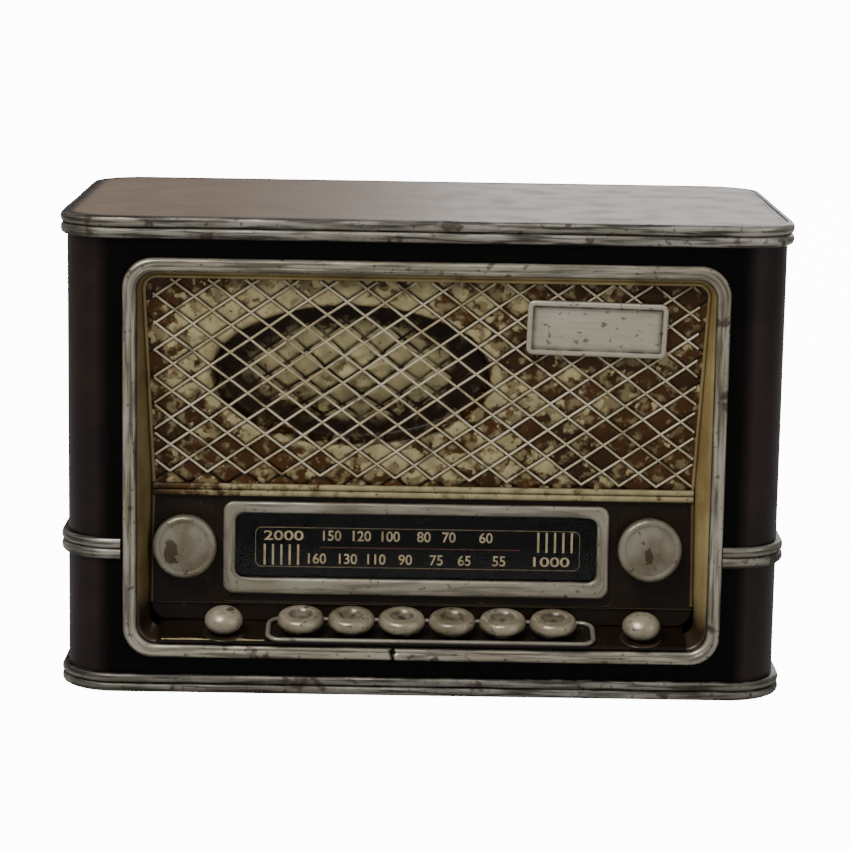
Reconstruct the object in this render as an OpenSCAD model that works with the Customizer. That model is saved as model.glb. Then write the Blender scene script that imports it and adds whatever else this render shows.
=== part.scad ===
// Tinplate wind-up music box in the form of a table radio.
// Millimetres, +Z up. The origin is the centre of the underside, and the front faces -Y.

/* [Cabinet] */
// Overall width across the rims
overall_w = 170; // [168:1:176]
// Overall depth across the rims
overall_d = 96; // [95:1:100]
// Overall height
overall_h = 111.5; // [110:0.5:116]
// Corner radius of the rims in plan
rim_corner_r = 13.5; // [12:0.5:16]
// How far the rims and the waist band stand out from the cabinet wall
rim_proud = 1.65; // [1.4:0.05:1.8]
// Thickness of the tin sheet
sheet_t = 0.8; // [0.6:0.1:0.9]

/* [Fascia] */
// Width of the silver front frame
frame_w = 139; // [137:1:140]
// Height of the silver front frame
frame_h = 93.6; // [93:0.2:94]
// Width of the frame's flat band
frame_band = 3.2; // [3:0.1:3.4]
// Width of one opening in the wire grille
mesh_pitch_x = 8.8; // [8:0.2:12]
// Height of one opening in the wire grille
mesh_pitch_y = 6.6; // [5:0.1:9]
// Thickness of the grille wires
wire_w = 0.65; // [0.5:0.05:0.9]
// Diameter of the two large knobs
knob_d = 15; // [13:0.5:15]

/* [Keys] */
// Distance from one piano key to the next
key_pitch = 11.8; // [11.6:0.1:12]
// Largest diameter of a key
key_d = 10.9; // [10:0.1:11]
// How far a key sinks when pressed
key_travel = 0.9; // [0.5:0.1:0.9]

/* [Movement] */
// Length of the pinned cylinder
cylinder_l = 27; // [26:0.5:27]
// Radius of the pinned cylinder
cylinder_r = 8; // [7.6:0.1:8]
// Number of comb teeth
comb_teeth = 18; // [12:1:18]
// Height of the gear axes above the underside
axis_z = 24; // [24:0.5:26]

/* [Hidden] */
$fn = 64;

// Cabinet
body_w = overall_w - 2 * rim_proud;
body_d = overall_d - 2 * rim_proud;
body_r = rim_corner_r - rim_proud;
body_front_y = -body_d / 2;
lid_rim_h = 5.1;
base_rim_h = 4.4;
base_t = 1.6;
band_z = 31.7;
band_h = 5;

// Front frame and the drafted reveal inside it
frame_t = 2;
frame_z = 8.5;
frame_front_y = body_front_y - frame_t;
frame_mid_z = frame_z + frame_h / 2;
frame_r = 7;
opening_w = frame_w - 2 * frame_band;
opening_h = frame_h - 2 * frame_band;
opening_r = 4.5;
reveal_draft = 0.22;
reveal_wall = 0.5;
reveal_start = 2;
reveal_depth = 13.6;
panel_gap = 0.3;

// The fascia folds along the crossbar: the grille leans out above it, the dial leans back below it
fold_depth = 12.3;
fold_y = frame_front_y + fold_depth;
fold_z = 48;
grille_lean = 9.1;
grille_h = 50.1;
dial_lean = 3.2;
dial_h = 32.6;
panel_r = 4.2;
mesh_t = 0.7;
mesh_centre = [3, 24.6];
mesh_turn = -1.5;

// Oval opening and its pan
oval_x = -17.2;
oval_y = 26.8;
oval_a = 32.2;
oval_b = 16.8;
pan_depth = 4.5;

// Name plate
plate_x = 39.3;
plate_y = 39.4;
plate_w = 32.3;
plate_h = 13;
plate_turn = -1.2;

// Dial window, in the dial panel's own plane, below the fold
dial_x = -1.5;
dial_y = -15.3;
bezel_w = 90.6;
bezel_h = 22;
window_w = 84.8;
window_h = 15.2;
window_dy = 0.6;
bezel_t = 1.4;
glass_t = 0.6;
scale_t = 0.5;

// Large knobs
knob_row_x = -1.2;
knob_spread = 109;
knob_row_y = -14.5;
knob_slant = 0.4;
shaft_d = 4;
bush_d = 8;
running_gap = 0.04;

// Key shelf: it slopes down to the front, and the keys stand square to it
shelf_slope = atan(reveal_draft);
shelf_front_y = frame_front_y + 0.4;
shelf_front_z = frame_z + frame_band + 1.2;
shelf_w = opening_w - 9.4;
shelf_back = 11.3;
shelf_riser_z = 22;
tray_x = 2.2;
tray_w = 76;
tray_d = 11;
tray_lip_r = 0.6;
tray_floor = 0.3;
key_row_x = 1.3;
key_row_y = 4.9;
key_base = 1.35;
key_top = 5;
key_stem_d = 2.8;
key_count = 6;
ball_row_x = 2.6;
ball_spread = 97.5;
ball_d = 9;
ball_row_y = 4;
ball_stem_d = 2.4;

// Movement: all wheels turn on axes along Y, between two bridges on the bedplate
bed_z = 5;
bed_t = 2.5;
bed_top = bed_z + bed_t;
bridge_t = 2;
bridge_foot_x = [-27.5, 34];
bridge_foot_l = 5;
front_bridge_y = -17;
rear_bridge_y = 25;
bridge_top = axis_z + 18;
barrel_x = 24;
barrel_r = 12.5;
great_teeth = 48;
pinion_teeth = 32;
drive_module = 0.6;
cylinder_teeth = 48;
leaf_teeth = 12;
worm_wheel_teeth = 20;
train_module = 0.5;
governor_x = -9;
governor_z = axis_z + 12;
governor_angle = atan2(governor_z - axis_z, governor_x);
cylinder_y = -6.5;
gear_y = -14.4;
gear_t = 2;
worm_wheel_y = -10;
worm_wheel_t = 1.2;
great_y = 21.2;
ratchet_y = rear_bridge_y + bridge_t + 0.6;
ratchet_t = 1.4;
ratchet_teeth = 16;
ratchet_r = 7;
arbor_d = 4;
cylinder_arbor_d = 3;
governor_arbor_d = 2;
pivot_gap = 0.05;
worm_pitch = PI * train_module;
worm_core_r = 1.25;
worm_r = 2;
worm_x = governor_x - worm_wheel_teeth * train_module / 2 - 0.4 - worm_core_r - 0.1;
worm_turns = 7;
comb_t = 1;
comb_tip_gap = 0.75;
comb_tooth_l = 15;
comb_base_l = 11;
comb_pitch = 1.4;
comb_y = cylinder_y + 0.9;
comb_l = comb_teeth * comb_pitch;
bed_screw_x = 32;
bed_screw_y = [-20, 29];
bed_mid_x = 4;
screw_d = 3;
key_hole_d = 7;
winding_y = body_d / 2 + 2;

// Back cover over the service opening
cover_w = 128;
cover_h = 78;
cover_z = 57;
cover_r = 6;
cover_lap = 4;
cover_screw_inset = 2.2;

// ---- Shared shapes ----

// Points along an arc, for outlines that mix arcs and straight edges.
function arc_points(centre, r, from, to, steps = 8) =
    [for (i = [0:steps]) let (a = from + (to - from) * i / steps) centre + r * [cos(a), sin(a)]];

// Outline of a gear with straight-flanked teeth; one tooth points along +X.
function gear_points(teeth, pitch_module) =
    let (tip_r = pitch_module * (teeth / 2 + 0.8))
    let (root_r = pitch_module * (teeth / 2 - 1.15))
    let (step = 360 / teeth)
    [for (i = [0:teeth - 1], edge = [[-0.28, root_r], [-0.12, tip_r], [0.12, tip_r], [0.28, root_r]])
        edge[1] * [cos((i + edge[0]) * step), sin((i + edge[0]) * step)]];

module rounded_rect(w, h, r) {
    square([w, h - 2 * r], center = true);
    square([w - 2 * r, h], center = true);
    for (x = [-1, 1], y = [-1, 1]) {
        translate([x * (w / 2 - r), y * (h / 2 - r)]) circle(r);
    }
}

// Sweeps a profile round a rounded rectangle: profile x points outwards, profile y is height.
module swept_outline(w, d, r) {
    for (quarter = [0:3]) {
        half_x = (quarter % 2 == 0) ? w / 2 : d / 2;
        half_y = (quarter % 2 == 0) ? d / 2 : w / 2;
        rotate([0, 0, 90 * quarter]) {
            translate([half_x, half_y - r, 0]) rotate([90, 0, 0]) linear_extrude(2 * (half_y - r)) children();
            translate([half_x - r, half_y - r, 0]) rotate_extrude(angle = 90) translate([r, 0]) children();
        }
    }
}

// A strip standing on x = 0 with both outer corners rounded.
module bead(proud, h, r) {
    square([proud - r, h]);
    translate([0, r]) square([proud, h - 2 * r]);
    for (y = [r, h - r]) {
        translate([proud - r, y]) circle(r);
    }
}

// Two beads with a groove between them, as rolled rims have.
module double_bead(proud, h, lower_part) {
    groove = 0.5;
    lower_h = h * lower_part - groove / 2;
    upper_h = h - lower_h - groove;
    bead(proud, lower_h, min(proud, lower_h) * 0.46);
    square([proud * 0.45, h]);
    translate([0, lower_h + groove]) bead(proud, upper_h, min(proud, upper_h) * 0.46);
}

// Faces the front: local x stays x, local y is height and local z points to the viewer.
module facing_front(y) {
    translate([0, y, 0]) rotate([90, 0, 0]) children();
}

module on_grille() {
    translate([0, fold_y, fold_z]) rotate([90 + grille_lean, 0, 0]) children();
}

module on_dial() {
    translate([0, fold_y, fold_z]) rotate([90 - dial_lean, 0, 0]) children();
}

module on_shelf() {
    translate([0, shelf_front_y, shelf_front_z]) rotate([shelf_slope, 0, 0]) children();
}

// Stands a shape on an axis along +Y, starting at the given y.
module along_y(x, y, z) {
    translate([x, y, z]) rotate([-90, 0, 0]) children();
}

// Half the width of the reveal at a depth behind the frame's front, less the gap round a panel.
function panel_half_w(depth) = opening_w / 2 - reveal_draft * depth - panel_gap;

module pan_head_screw(d, head_d, head_h, shank_l) {
    rotate_extrude() polygon(concat(
        [[0, -shank_l], [d / 2, -shank_l], [d / 2, 0], [head_d / 2, 0]],
        arc_points([head_d / 2 - head_h * 0.6, head_h * 0.4], head_h * 0.6, 0, 90),
        [[0, head_h]]));
}

// ---- Cabinet ----

module cabinet_shell() {
    window_w_shell = opening_w + 1.2;
    window_h_shell = opening_h + 1.2;
    color([0.14, 0.09, 0.08]) difference() {
        translate([0, 0, base_t]) linear_extrude(overall_h - sheet_t - base_t) difference() {
            rounded_rect(body_w, body_d, body_r);
            rounded_rect(body_w - 2 * sheet_t, body_d - 2 * sheet_t, body_r - sheet_t);
        }
        facing_front(body_front_y + sheet_t + 1) translate([0, frame_mid_z, 0])
            linear_extrude(sheet_t + 2) rounded_rect(window_w_shell, window_h_shell, opening_r);
        facing_front(body_d / 2 + 1) translate([0, cover_z, 0])
            linear_extrude(sheet_t + 2) rounded_rect(cover_w - 2 * cover_lap, cover_h - 2 * cover_lap, cover_r);
        back_screw_places() cylinder(d = screw_d, h = 6, center = true);
    }
}

module lid_panel() {
    color([0.36, 0.31, 0.28]) translate([0, 0, overall_h - sheet_t])
        linear_extrude(sheet_t) rounded_rect(body_w, body_d, body_r);
}

module lid_rim() {
    color([0.6, 0.58, 0.53]) translate([0, 0, overall_h - lid_rim_h])
        swept_outline(body_w, body_d, body_r) double_bead(rim_proud, lid_rim_h, 0.5);
}

module base_plate() {
    color([0.3, 0.28, 0.25]) difference() {
        linear_extrude(base_t) rounded_rect(body_w, body_d, body_r);
        bed_screw_places() translate([0, 0, -0.1]) cylinder(d1 = 6.2, d2 = screw_d, h = base_t + 0.1);
        bed_screw_places() cylinder(d = screw_d, h = 3 * base_t, center = true);
    }
}

module base_rim() {
    color([0.6, 0.58, 0.53]) swept_outline(body_w, body_d, body_r) double_bead(rim_proud, base_rim_h, 0.5);
}

module waist_band() {
    color([0.6, 0.58, 0.53]) difference() {
        translate([0, 0, band_z]) swept_outline(body_w, body_d, body_r) double_bead(rim_proud, band_h, 0.5);
        translate([-frame_w / 2 - 0.1, -overall_d, 0]) cube([frame_w + 0.2, overall_d, overall_h]);
        translate([-cover_w / 2 - 0.2, 0, 0]) cube([cover_w + 0.4, overall_d, overall_h]);
    }
}

module back_screw_places() {
    for (x = [-1, 1], z = [-1, 1]) {
        along_y(x * (cover_w / 2 - cover_screw_inset), body_d / 2, cover_z + z * (cover_h / 2 - 10)) children();
    }
}

module back_cover() {
    vent_w = 2.4;
    vent_l = 22;
    vent_rows = 9;
    vent_pitch = 6;
    color([0.22, 0.16, 0.13]) difference() {
        facing_front(body_d / 2 + sheet_t) translate([0, cover_z, 0]) linear_extrude(sheet_t) difference() {
            rounded_rect(cover_w, cover_h, cover_r);
            for (side = [-1, 1], row = [0:vent_rows - 1]) {
                translate([side * 36, (row - (vent_rows - 1) / 2) * vent_pitch + 6])
                    rounded_rect(vent_l, vent_w, vent_w * 0.48);
            }
            translate([barrel_x, axis_z - cover_z]) circle(d = key_hole_d);
        }
        back_screw_places() cylinder(d = screw_d, h = 6, center = true);
    }
}

module back_cover_screws() {
    color([0.55, 0.52, 0.46]) back_screw_places() translate([0, 0, sheet_t]) pan_head_screw(screw_d, 4.2, 1, 4);
}

// ---- Fascia ----

module front_frame() {
    joint_x = -6.7;
    color([0.6, 0.58, 0.53]) facing_front(body_front_y) translate([0, frame_mid_z, 0]) difference() {
        swept_outline(frame_w, frame_h, frame_r) {
            translate([-frame_band, 0]) square([frame_band, frame_t - 0.7]);
            translate([-frame_band + 0.7, 0]) square([frame_band - 1.4, frame_t]);
            for (x = [-frame_band + 0.7, -0.7]) {
                translate([x, frame_t - 0.7]) circle(0.7);
            }
        }
        translate([joint_x, -frame_h / 2 - 1, -1]) cube([0.3, frame_band + 2, frame_t + 2]);
    }
}

module reveal_liner() {
    behind_panels = 1.2;
    color([0.48, 0.43, 0.28]) difference() {
        facing_front(frame_front_y) translate([0, frame_mid_z, 0])
            swept_outline(opening_w, opening_h, opening_r) polygon([
                [-reveal_draft * reveal_start, -reveal_start],
                [reveal_wall - reveal_draft * reveal_start, -reveal_start],
                [reveal_wall - reveal_draft * reveal_depth, -reveal_depth],
                [-reveal_draft * reveal_depth, -reveal_depth]]);
        on_grille() translate([-overall_w / 2, 0, -reveal_depth - behind_panels])
            cube([overall_w, overall_h, reveal_depth]);
        on_dial() translate([-overall_w / 2, -overall_h, -reveal_depth - behind_panels])
            cube([overall_w, overall_h, reveal_depth]);
        translate([-shelf_w / 2 - 0.1, frame_front_y - 1, 0])
            cube([shelf_w + 0.2, reveal_depth + 2, shelf_front_z + 5]);
    }
}

module grille_outline() {
    low = panel_half_w(fold_depth);
    high = panel_half_w(fold_depth - grille_h * sin(grille_lean));
    polygon(concat([[low, 0]],
        arc_points([high - panel_r, grille_h - panel_r], panel_r, 0, 90),
        arc_points([panel_r - high, grille_h - panel_r], panel_r, 90, 180), [[-low, 0]]));
}

module oval(grow = 0) {
    polygon([for (a = [0:5:355]) [oval_x + (oval_a + grow) * cos(a), oval_y + (oval_b + grow) * sin(a)]]);
}

module grille_panel() {
    color([0.32, 0.2, 0.1]) on_grille() translate([0, 0, -sheet_t]) linear_extrude(sheet_t) difference() {
        grille_outline();
        oval();
    }
}

// An oval pan behind the opening: a flange, a wall, a flat floor and a low dome in the middle.
module speaker_pan() {
    dome_h = 2.4;
    dome_a = 17;
    color([0.5, 0.46, 0.32]) on_grille() translate([0, 0, -sheet_t]) {
        translate([0, 0, -0.5]) linear_extrude(0.5) difference() {
            oval(2.5);
            oval(-0.1);
        }
        translate([0, 0, -pan_depth]) linear_extrude(pan_depth) difference() {
            oval(0.5);
            oval(-0.1);
        }
        translate([0, 0, -pan_depth - 0.5]) linear_extrude(0.5) oval(0.5);
        translate([oval_x, oval_y, -pan_depth]) linear_extrude(dome_h, scale = 0.25)
            polygon([for (a = [0:10:350]) [dome_a * cos(a), dome_a * oval_b / oval_a * sin(a)]]);
    }
}

// One family of parallel wires across the grille, leaning to the right (1) or to the left (-1).
// The whole lattice was soldered up slightly turned and off the middle.
module slanted_wires(lean_side) {
    wire_angle = atan2(mesh_pitch_y, mesh_pitch_x);
    wire_step = mesh_pitch_x * sin(wire_angle);
    wire_rows = ceil(overall_w / 2 / wire_step);
    for (row = [-wire_rows:wire_rows]) {
        translate(mesh_centre) rotate(mesh_turn + lean_side * wire_angle) translate([0, (row + 0.5) * wire_step])
            square([1.2 * overall_w, wire_w], center = true);
    }
}

module grille_mesh() {
    side_border = 0.5;
    low_border = 1.5;
    color([0.62, 0.56, 0.4]) on_grille() linear_extrude(mesh_t) intersection() {
        union() {
            slanted_wires(1);
            slanted_wires(-1);
        }
        grille_outline();
        translate([side_border - panel_half_w(fold_depth), low_border])
            square([2 * (panel_half_w(fold_depth) - side_border), grille_h]);
    }
}

module name_plate() {
    plate_t = 1.2;
    color([0.66, 0.64, 0.58]) on_grille() translate([plate_x, plate_y, mesh_t]) rotate(plate_turn)
    difference() {
        linear_extrude(plate_t) rounded_rect(plate_w, plate_h, 1.6);
        translate([0, 0.2, plate_t - 0.3]) linear_extrude(1) rounded_rect(plate_w - 2.4, plate_h - 2.8, 1);
    }
}

module crossbar() {
    bar_h = 3;
    bar_proud = 1.3;
    half_l = panel_half_w(fold_depth);
    color([0.65, 0.58, 0.38]) on_dial() translate([half_l, -bar_h - 0.4, 0]) rotate([0, -90, 0])
        linear_extrude(2 * half_l) double_bead(bar_proud, bar_h, 0.5);
}

module dial_outline() {
    low = panel_half_w(fold_depth - dial_h * sin(dial_lean));
    high = panel_half_w(fold_depth);
    polygon(concat([[-high, 0]],
        arc_points([panel_r - low, panel_r - dial_h], panel_r, 180, 270),
        arc_points([low - panel_r, panel_r - dial_h], panel_r, 270, 360), [[high, 0]]));
}

module knob_places() {
    for (side = [-1, 1]) {
        translate([knob_row_x + side * knob_spread / 2, knob_row_y + side * knob_slant, 0]) children();
    }
}

module dial_panel() {
    color([0.13, 0.09, 0.05]) on_dial() translate([0, 0, -sheet_t]) linear_extrude(sheet_t) difference() {
        dial_outline();
        translate([dial_x, dial_y + window_dy]) rounded_rect(window_w + 1.2, window_h + 1.2, 2);
        knob_places() circle(d = bush_d);
    }
}

module dial_bezel() {
    bezel_edge = 0.6;
    color([0.6, 0.58, 0.53]) on_dial() translate([dial_x, dial_y, 0]) difference() {
        union() {
            linear_extrude(bezel_t - bezel_edge) rounded_rect(bezel_w, bezel_h, 2.4);
            linear_extrude(bezel_t) rounded_rect(bezel_w - 2 * bezel_edge, bezel_h - 2 * bezel_edge, 2);
        }
        translate([0, window_dy, -1]) linear_extrude(bezel_t + 2) rounded_rect(window_w, window_h, 2);
    }
}

module dial_scale() {
    color([0.03, 0.03, 0.03]) on_dial() translate([dial_x, dial_y + window_dy, -sheet_t - scale_t])
        linear_extrude(scale_t) rounded_rect(window_w + 3, window_h + 3, 2);
}

module dial_glass() {
    color([0.6, 0.65, 0.65, 0.4]) on_dial() translate([dial_x, dial_y + window_dy, -sheet_t])
        linear_extrude(glass_t) rounded_rect(window_w + 1, window_h + 1, 2);
}

module knob_bushes() {
    flange_d = 15.6;
    flange_t = 0.4;
    sleeve_l = 7;
    color([0.16, 0.11, 0.07]) on_dial() knob_places() difference() {
        union() {
            cylinder(d = flange_d, h = flange_t);
            translate([0, 0, -sleeve_l]) cylinder(d = bush_d, h = sleeve_l);
        }
        translate([0, 0, -sleeve_l - 1]) cylinder(d = shaft_d + 2 * running_gap, h = sleeve_l + flange_t + 2);
    }
}

module knob_nuts() {
    nut_t = 2;
    color([0.7, 0.6, 0.35]) on_dial() knob_places() translate([0, 0, -sheet_t - nut_t]) difference() {
        cylinder(d = 12.5, h = nut_t, $fn = 6);
        translate([0, 0, -1]) cylinder(d = bush_d, h = nut_t + 2);
    }
}

// A domed disc with a stepped rim on its own shaft.
module large_knob(side) {
    base = 0.8;
    side_h = 2.6;
    dome_h = 1.3;
    rim = 1.1;
    shaft_l = 14;
    dome_r = knob_d / 2 - rim;
    dome_sphere = (dome_r * dome_r + dome_h * dome_h) / (2 * dome_h);
    dome_centre = base + side_h + rim - 0.35 + dome_h - dome_sphere;
    color([0.6, 0.58, 0.52]) on_dial()
        translate([knob_row_x + side * knob_spread / 2, knob_row_y + side * knob_slant, 0]) {
        rotate_extrude() polygon(concat(
            [[0, base], [knob_d / 2 - 0.8, base], [knob_d / 2, base + 0.8]],
            arc_points([knob_d / 2 - rim, base + side_h], rim, 0, 90),
            arc_points([0, dome_centre], dome_sphere, acos(dome_r / dome_sphere), 90, 14)));
        translate([0, 0, -shaft_l]) cylinder(d = shaft_d, h = shaft_l + base + 0.5);
    }
}

// ---- Key shelf ----

// One folded sheet: the sloping shelf and the riser behind the dial panel's lower edge.
module key_shelf() {
    rise = shelf_back * tan(shelf_slope);
    back_y = shelf_front_y + shelf_back;
    riser_t = 0.6;
    color([0.15, 0.1, 0.06]) difference() {
        translate([-shelf_w / 2, 0, 0]) rotate([90, 0, 90]) linear_extrude(shelf_w) polygon([
            [shelf_front_y, shelf_front_z - sheet_t],
            [shelf_front_y, shelf_front_z],
            [back_y, shelf_front_z + rise],
            [back_y, shelf_riser_z],
            [back_y + riser_t, shelf_riser_z],
            [back_y + riser_t, shelf_front_z + rise - sheet_t]]);
        on_shelf() key_places() cylinder(d = key_stem_d + 2 * running_gap, h = 6, center = true);
        on_shelf() ball_places() cylinder(d = ball_stem_d + 2 * running_gap, h = 6, center = true);
    }
}

function key_x(i) = key_row_x + (i - (key_count + 1) / 2) * key_pitch;

module key_places() {
    for (i = [1:key_count]) {
        translate([key_x(i), key_row_y, 0]) children();
    }
}

module ball_places() {
    for (side = [-1, 1]) {
        translate([ball_row_x + side * ball_spread / 2, ball_row_y, 0]) children();
    }
}

// A shallow tray whose back edge is cut off along the dial panel.
module key_tray() {
    color([0.6, 0.58, 0.53]) difference() {
        on_shelf() union() {
            translate([tray_x, key_row_y, 0]) linear_extrude(tray_floor) rounded_rect(tray_w, tray_d, 3);
            translate([tray_x, key_row_y, tray_lip_r]) swept_outline(tray_w, tray_d, 3) circle(tray_lip_r);
        }
        on_shelf() key_places() cylinder(d = key_stem_d + 2 * running_gap, h = 6, center = true);
        on_dial() translate([-overall_w / 2, -overall_h, 0.1 - reveal_depth])
            cube([overall_w, overall_h, reveal_depth]);
    }
}

// A barrel-shaped cap with a dished top, hollowed below for its spring, on a guide stem.
module piano_key(i) {
    r = key_d / 2;
    spring_room_r = 3;
    spring_room_top = 3.1;
    stem_l = 6;
    color([0.6, 0.58, 0.52]) on_shelf() translate([key_x(i), key_row_y, 0]) {
        rotate_extrude() polygon([
            [0, spring_room_top],
            [spring_room_r, spring_room_top],
            [spring_room_r, key_base],
            [r - 1, key_base],
            [r - 0.85, key_base + 0.2],
            [r - 0.6, key_base + 0.6],
            [r - 0.35, key_base + 0.85],
            [r - 0.08, key_base + 1.3],
            [r, key_base + 1.8],
            [r - 0.08, key_base + 2.3],
            [r - 0.35, key_top - 0.7],
            [r - 0.8, key_top - 0.3],
            [r - 1.4, key_top - 0.08],
            [r - 2.1, key_top],
            [r - 2.6, key_top - 0.1],
            [r - 3, key_top - 0.45],
            [r - 3.5, key_top - 0.85],
            [r - 4.1, key_top - 1],
            [0, key_top - 1]]);
        translate([0, 0, -stem_l]) cylinder(d = key_stem_d, h = stem_l + spring_room_top + 0.3);
    }
}

// A coil of square wire: each level of the extrusion cuts the wire over part of a turn.
module key_spring(i) {
    turns = 3;
    wire_t = 0.45;
    coil_r = 2.1;
    spring_l = 3 - tray_floor;
    cut_angle = 360 * wire_t / (spring_l / turns);
    color([0.7, 0.7, 0.72]) on_shelf()
        translate([key_x(i), key_row_y, tray_floor + 0.02])
        linear_extrude(spring_l, twist = -360 * turns, slices = 14 * turns, $fn = 8) polygon(concat(
            arc_points([0, 0], coil_r + wire_t / 2, 0, cut_angle),
            arc_points([0, 0], coil_r - wire_t / 2, cut_angle, 0)));
}

module ball_knob_collars() {
    color([0.42, 0.38, 0.28]) on_shelf() ball_places() difference() {
        cylinder(d = ball_d + 1, h = 0.4);
        translate([0, 0, -1]) cylinder(d = ball_stem_d + 2 * running_gap, h = 3);
    }
}

module ball_knob(side) {
    base = 0.6;
    ball_h = 5.9;
    neck_r = 2.6;
    color([0.6, 0.58, 0.52]) on_shelf()
        translate([ball_row_x + side * ball_spread / 2, ball_row_y, 0]) {
        rotate_extrude() polygon(concat(
            [[0, base], [neck_r, base]],
            [for (a = [-50:10:90]) [ball_d / 2 * cos(a), base + ball_h * (0.46 + 0.54 * sin(a))]]));
        translate([0, 0, -6]) cylinder(d = ball_stem_d, h = 8);
    }
}

// ---- Movement ----

module bed_screw_places() {
    for (x = [-1, 1], y = bed_screw_y) {
        translate([bed_mid_x + x * bed_screw_x, y, 0]) children();
    }
}

module bridge_screw_places() {
    foot_mid = bridge_foot_l / 2;
    for (x = bridge_foot_x, y = [front_bridge_y + bridge_t + foot_mid, rear_bridge_y - foot_mid]) {
        translate([x, y, bed_top + bridge_t]) children();
    }
}

module comb_screw_places() {
    screw_x = -cylinder_r - comb_tip_gap - comb_tooth_l - 6;
    for (i = [0:2]) {
        translate([screw_x, comb_y + comb_l * (i + 0.5) / 3, 0]) children();
    }
}

// The cast bed with its four legs and the raised block that the comb is screwed to.
module bedplate() {
    block_x = cylinder_r + comb_tip_gap + comb_tooth_l;
    color([0.72, 0.6, 0.36]) difference() {
        union() {
            translate([bed_mid_x, 4.5, bed_z]) linear_extrude(bed_t) rounded_rect(2 * bed_screw_x + 9, 58, 4);
            bed_screw_places() translate([0, 0, base_t]) cylinder(d = 8, h = bed_z - base_t + 0.5);
            translate([-block_x - comb_base_l, comb_y, bed_top - 0.5])
                cube([comb_base_l, comb_l, axis_z - comb_t / 2 - bed_top + 0.5]);
        }
        bed_screw_places() translate([0, 0, base_t - 1]) cylinder(d = screw_d, h = 6.9);
        comb_screw_places() translate([0, 0, axis_z - 7]) cylinder(d = 2, h = 8);
        bridge_screw_places() translate([0, 0, -bridge_t - 2]) cylinder(d = 2, h = 6);
    }
}

module movement_screws() {
    color([0.6, 0.6, 0.62]) bed_screw_places() {
        translate([0, 0, 0.05]) cylinder(d1 = 5.7, d2 = screw_d, h = base_t - 0.1);
        translate([0, 0, base_t - 0.06]) cylinder(d = screw_d, h = 5.9);
    }
}

// A bridge plate standing on feet that are turned towards the middle of the bed.
module bridge(y, foot_y) {
    foot_w = 8;
    plate_low_x = [bridge_foot_x[0] - foot_w / 2, bridge_foot_x[1] + foot_w / 2];
    color([0.74, 0.63, 0.38]) difference() {
        union() {
            facing_front(y + bridge_t) linear_extrude(bridge_t) polygon(concat(
                [[plate_low_x[0], bed_top], [plate_low_x[1], bed_top]],
                arc_points([barrel_x, axis_z], 14, -20, 100),
                arc_points([governor_x, governor_z], 6, 80, 180),
                [[-20, governor_z - 8]]));
            for (x = bridge_foot_x) {
                translate([x - foot_w / 2, foot_y, bed_top]) cube([foot_w, bridge_foot_l, bridge_t]);
            }
        }
        along_y(barrel_x, y - 1, axis_z) cylinder(d = arbor_d + 2 * pivot_gap, h = 4);
        along_y(0, y - 1, axis_z) cylinder(d = cylinder_arbor_d + 2 * pivot_gap, h = 4);
        along_y(governor_x, y - 1, governor_z) cylinder(d = governor_arbor_d + 2 * pivot_gap, h = 4);
        bridge_screw_places() cylinder(d = 2, h = 10, center = true);
    }
}

module front_bridge() {
    bridge(front_bridge_y, front_bridge_y + bridge_t);
}

// The rear bridge also carries the stud that the click turns on.
module rear_bridge() {
    bridge(rear_bridge_y, rear_bridge_y - bridge_foot_l);
    color([0.6, 0.6, 0.62]) click_place() translate([0, 0, -1.2]) cylinder(d = 2, h = 3.4);
}

module bridge_screws() {
    color([0.6, 0.6, 0.62]) bridge_screw_places() pan_head_screw(2, 3.8, 1.2, 3.8);
}

module comb() {
    tip_x = -cylinder_r - comb_tip_gap;
    slot = 0.35;
    color([0.68, 0.7, 0.72]) translate([0, 0, axis_z - comb_t / 2]) linear_extrude(comb_t) difference() {
        translate([tip_x - comb_tooth_l - comb_base_l, comb_y]) square([comb_tooth_l + comb_base_l, comb_l]);
        for (i = [1:comb_teeth - 1]) {
            slot_l = comb_tooth_l * (0.75 + 0.25 * i / comb_teeth);
            translate([tip_x - slot_l, comb_y + i * comb_pitch - slot / 2]) square([slot_l + 1, slot]);
        }
        comb_screw_places() circle(d = 2);
    }
}

module comb_screws() {
    color([0.6, 0.6, 0.62]) comb_screw_places()
        translate([0, 0, axis_z + comb_t / 2]) pan_head_screw(2, 4, 1.3, 6);
}

module click_place() {
    along_y(barrel_x + 11, rear_bridge_y + bridge_t, axis_z + 7) children();
}

// The click rides on the tips of the ratchet teeth.
module click() {
    reach = norm([11, 7]) - ratchet_r - 0.15;
    color([0.62, 0.62, 0.64]) click_place() translate([0, 0, 0.6]) difference() {
        linear_extrude(ratchet_t) {
            circle(2);
            rotate(180 - atan2(7, 11)) polygon([[0, -1.6], [reach, -0.4], [reach, 0.4], [0, 1.6]]);
        }
        translate([0, 0, -1]) cylinder(d = 2 + 2 * pivot_gap, h = 4);
    }
}

module winding_arbor() {
    color([0.62, 0.62, 0.64]) along_y(barrel_x, front_bridge_y, axis_z)
        cylinder(d = arbor_d, h = winding_y + 10 - front_bridge_y);
}

module ratchet_wheel() {
    color([0.62, 0.62, 0.64]) along_y(barrel_x, ratchet_y, axis_z) linear_extrude(ratchet_t) difference() {
        polygon([for (i = [0:ratchet_teeth - 1], edge = [[0, ratchet_r], [0.85, ratchet_r - 1.2]])
            edge[1] * [cos((i + edge[0]) * 360 / ratchet_teeth), sin((i + edge[0]) * 360 / ratchet_teeth)]]);
        circle(d = arbor_d);
    }
}

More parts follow.
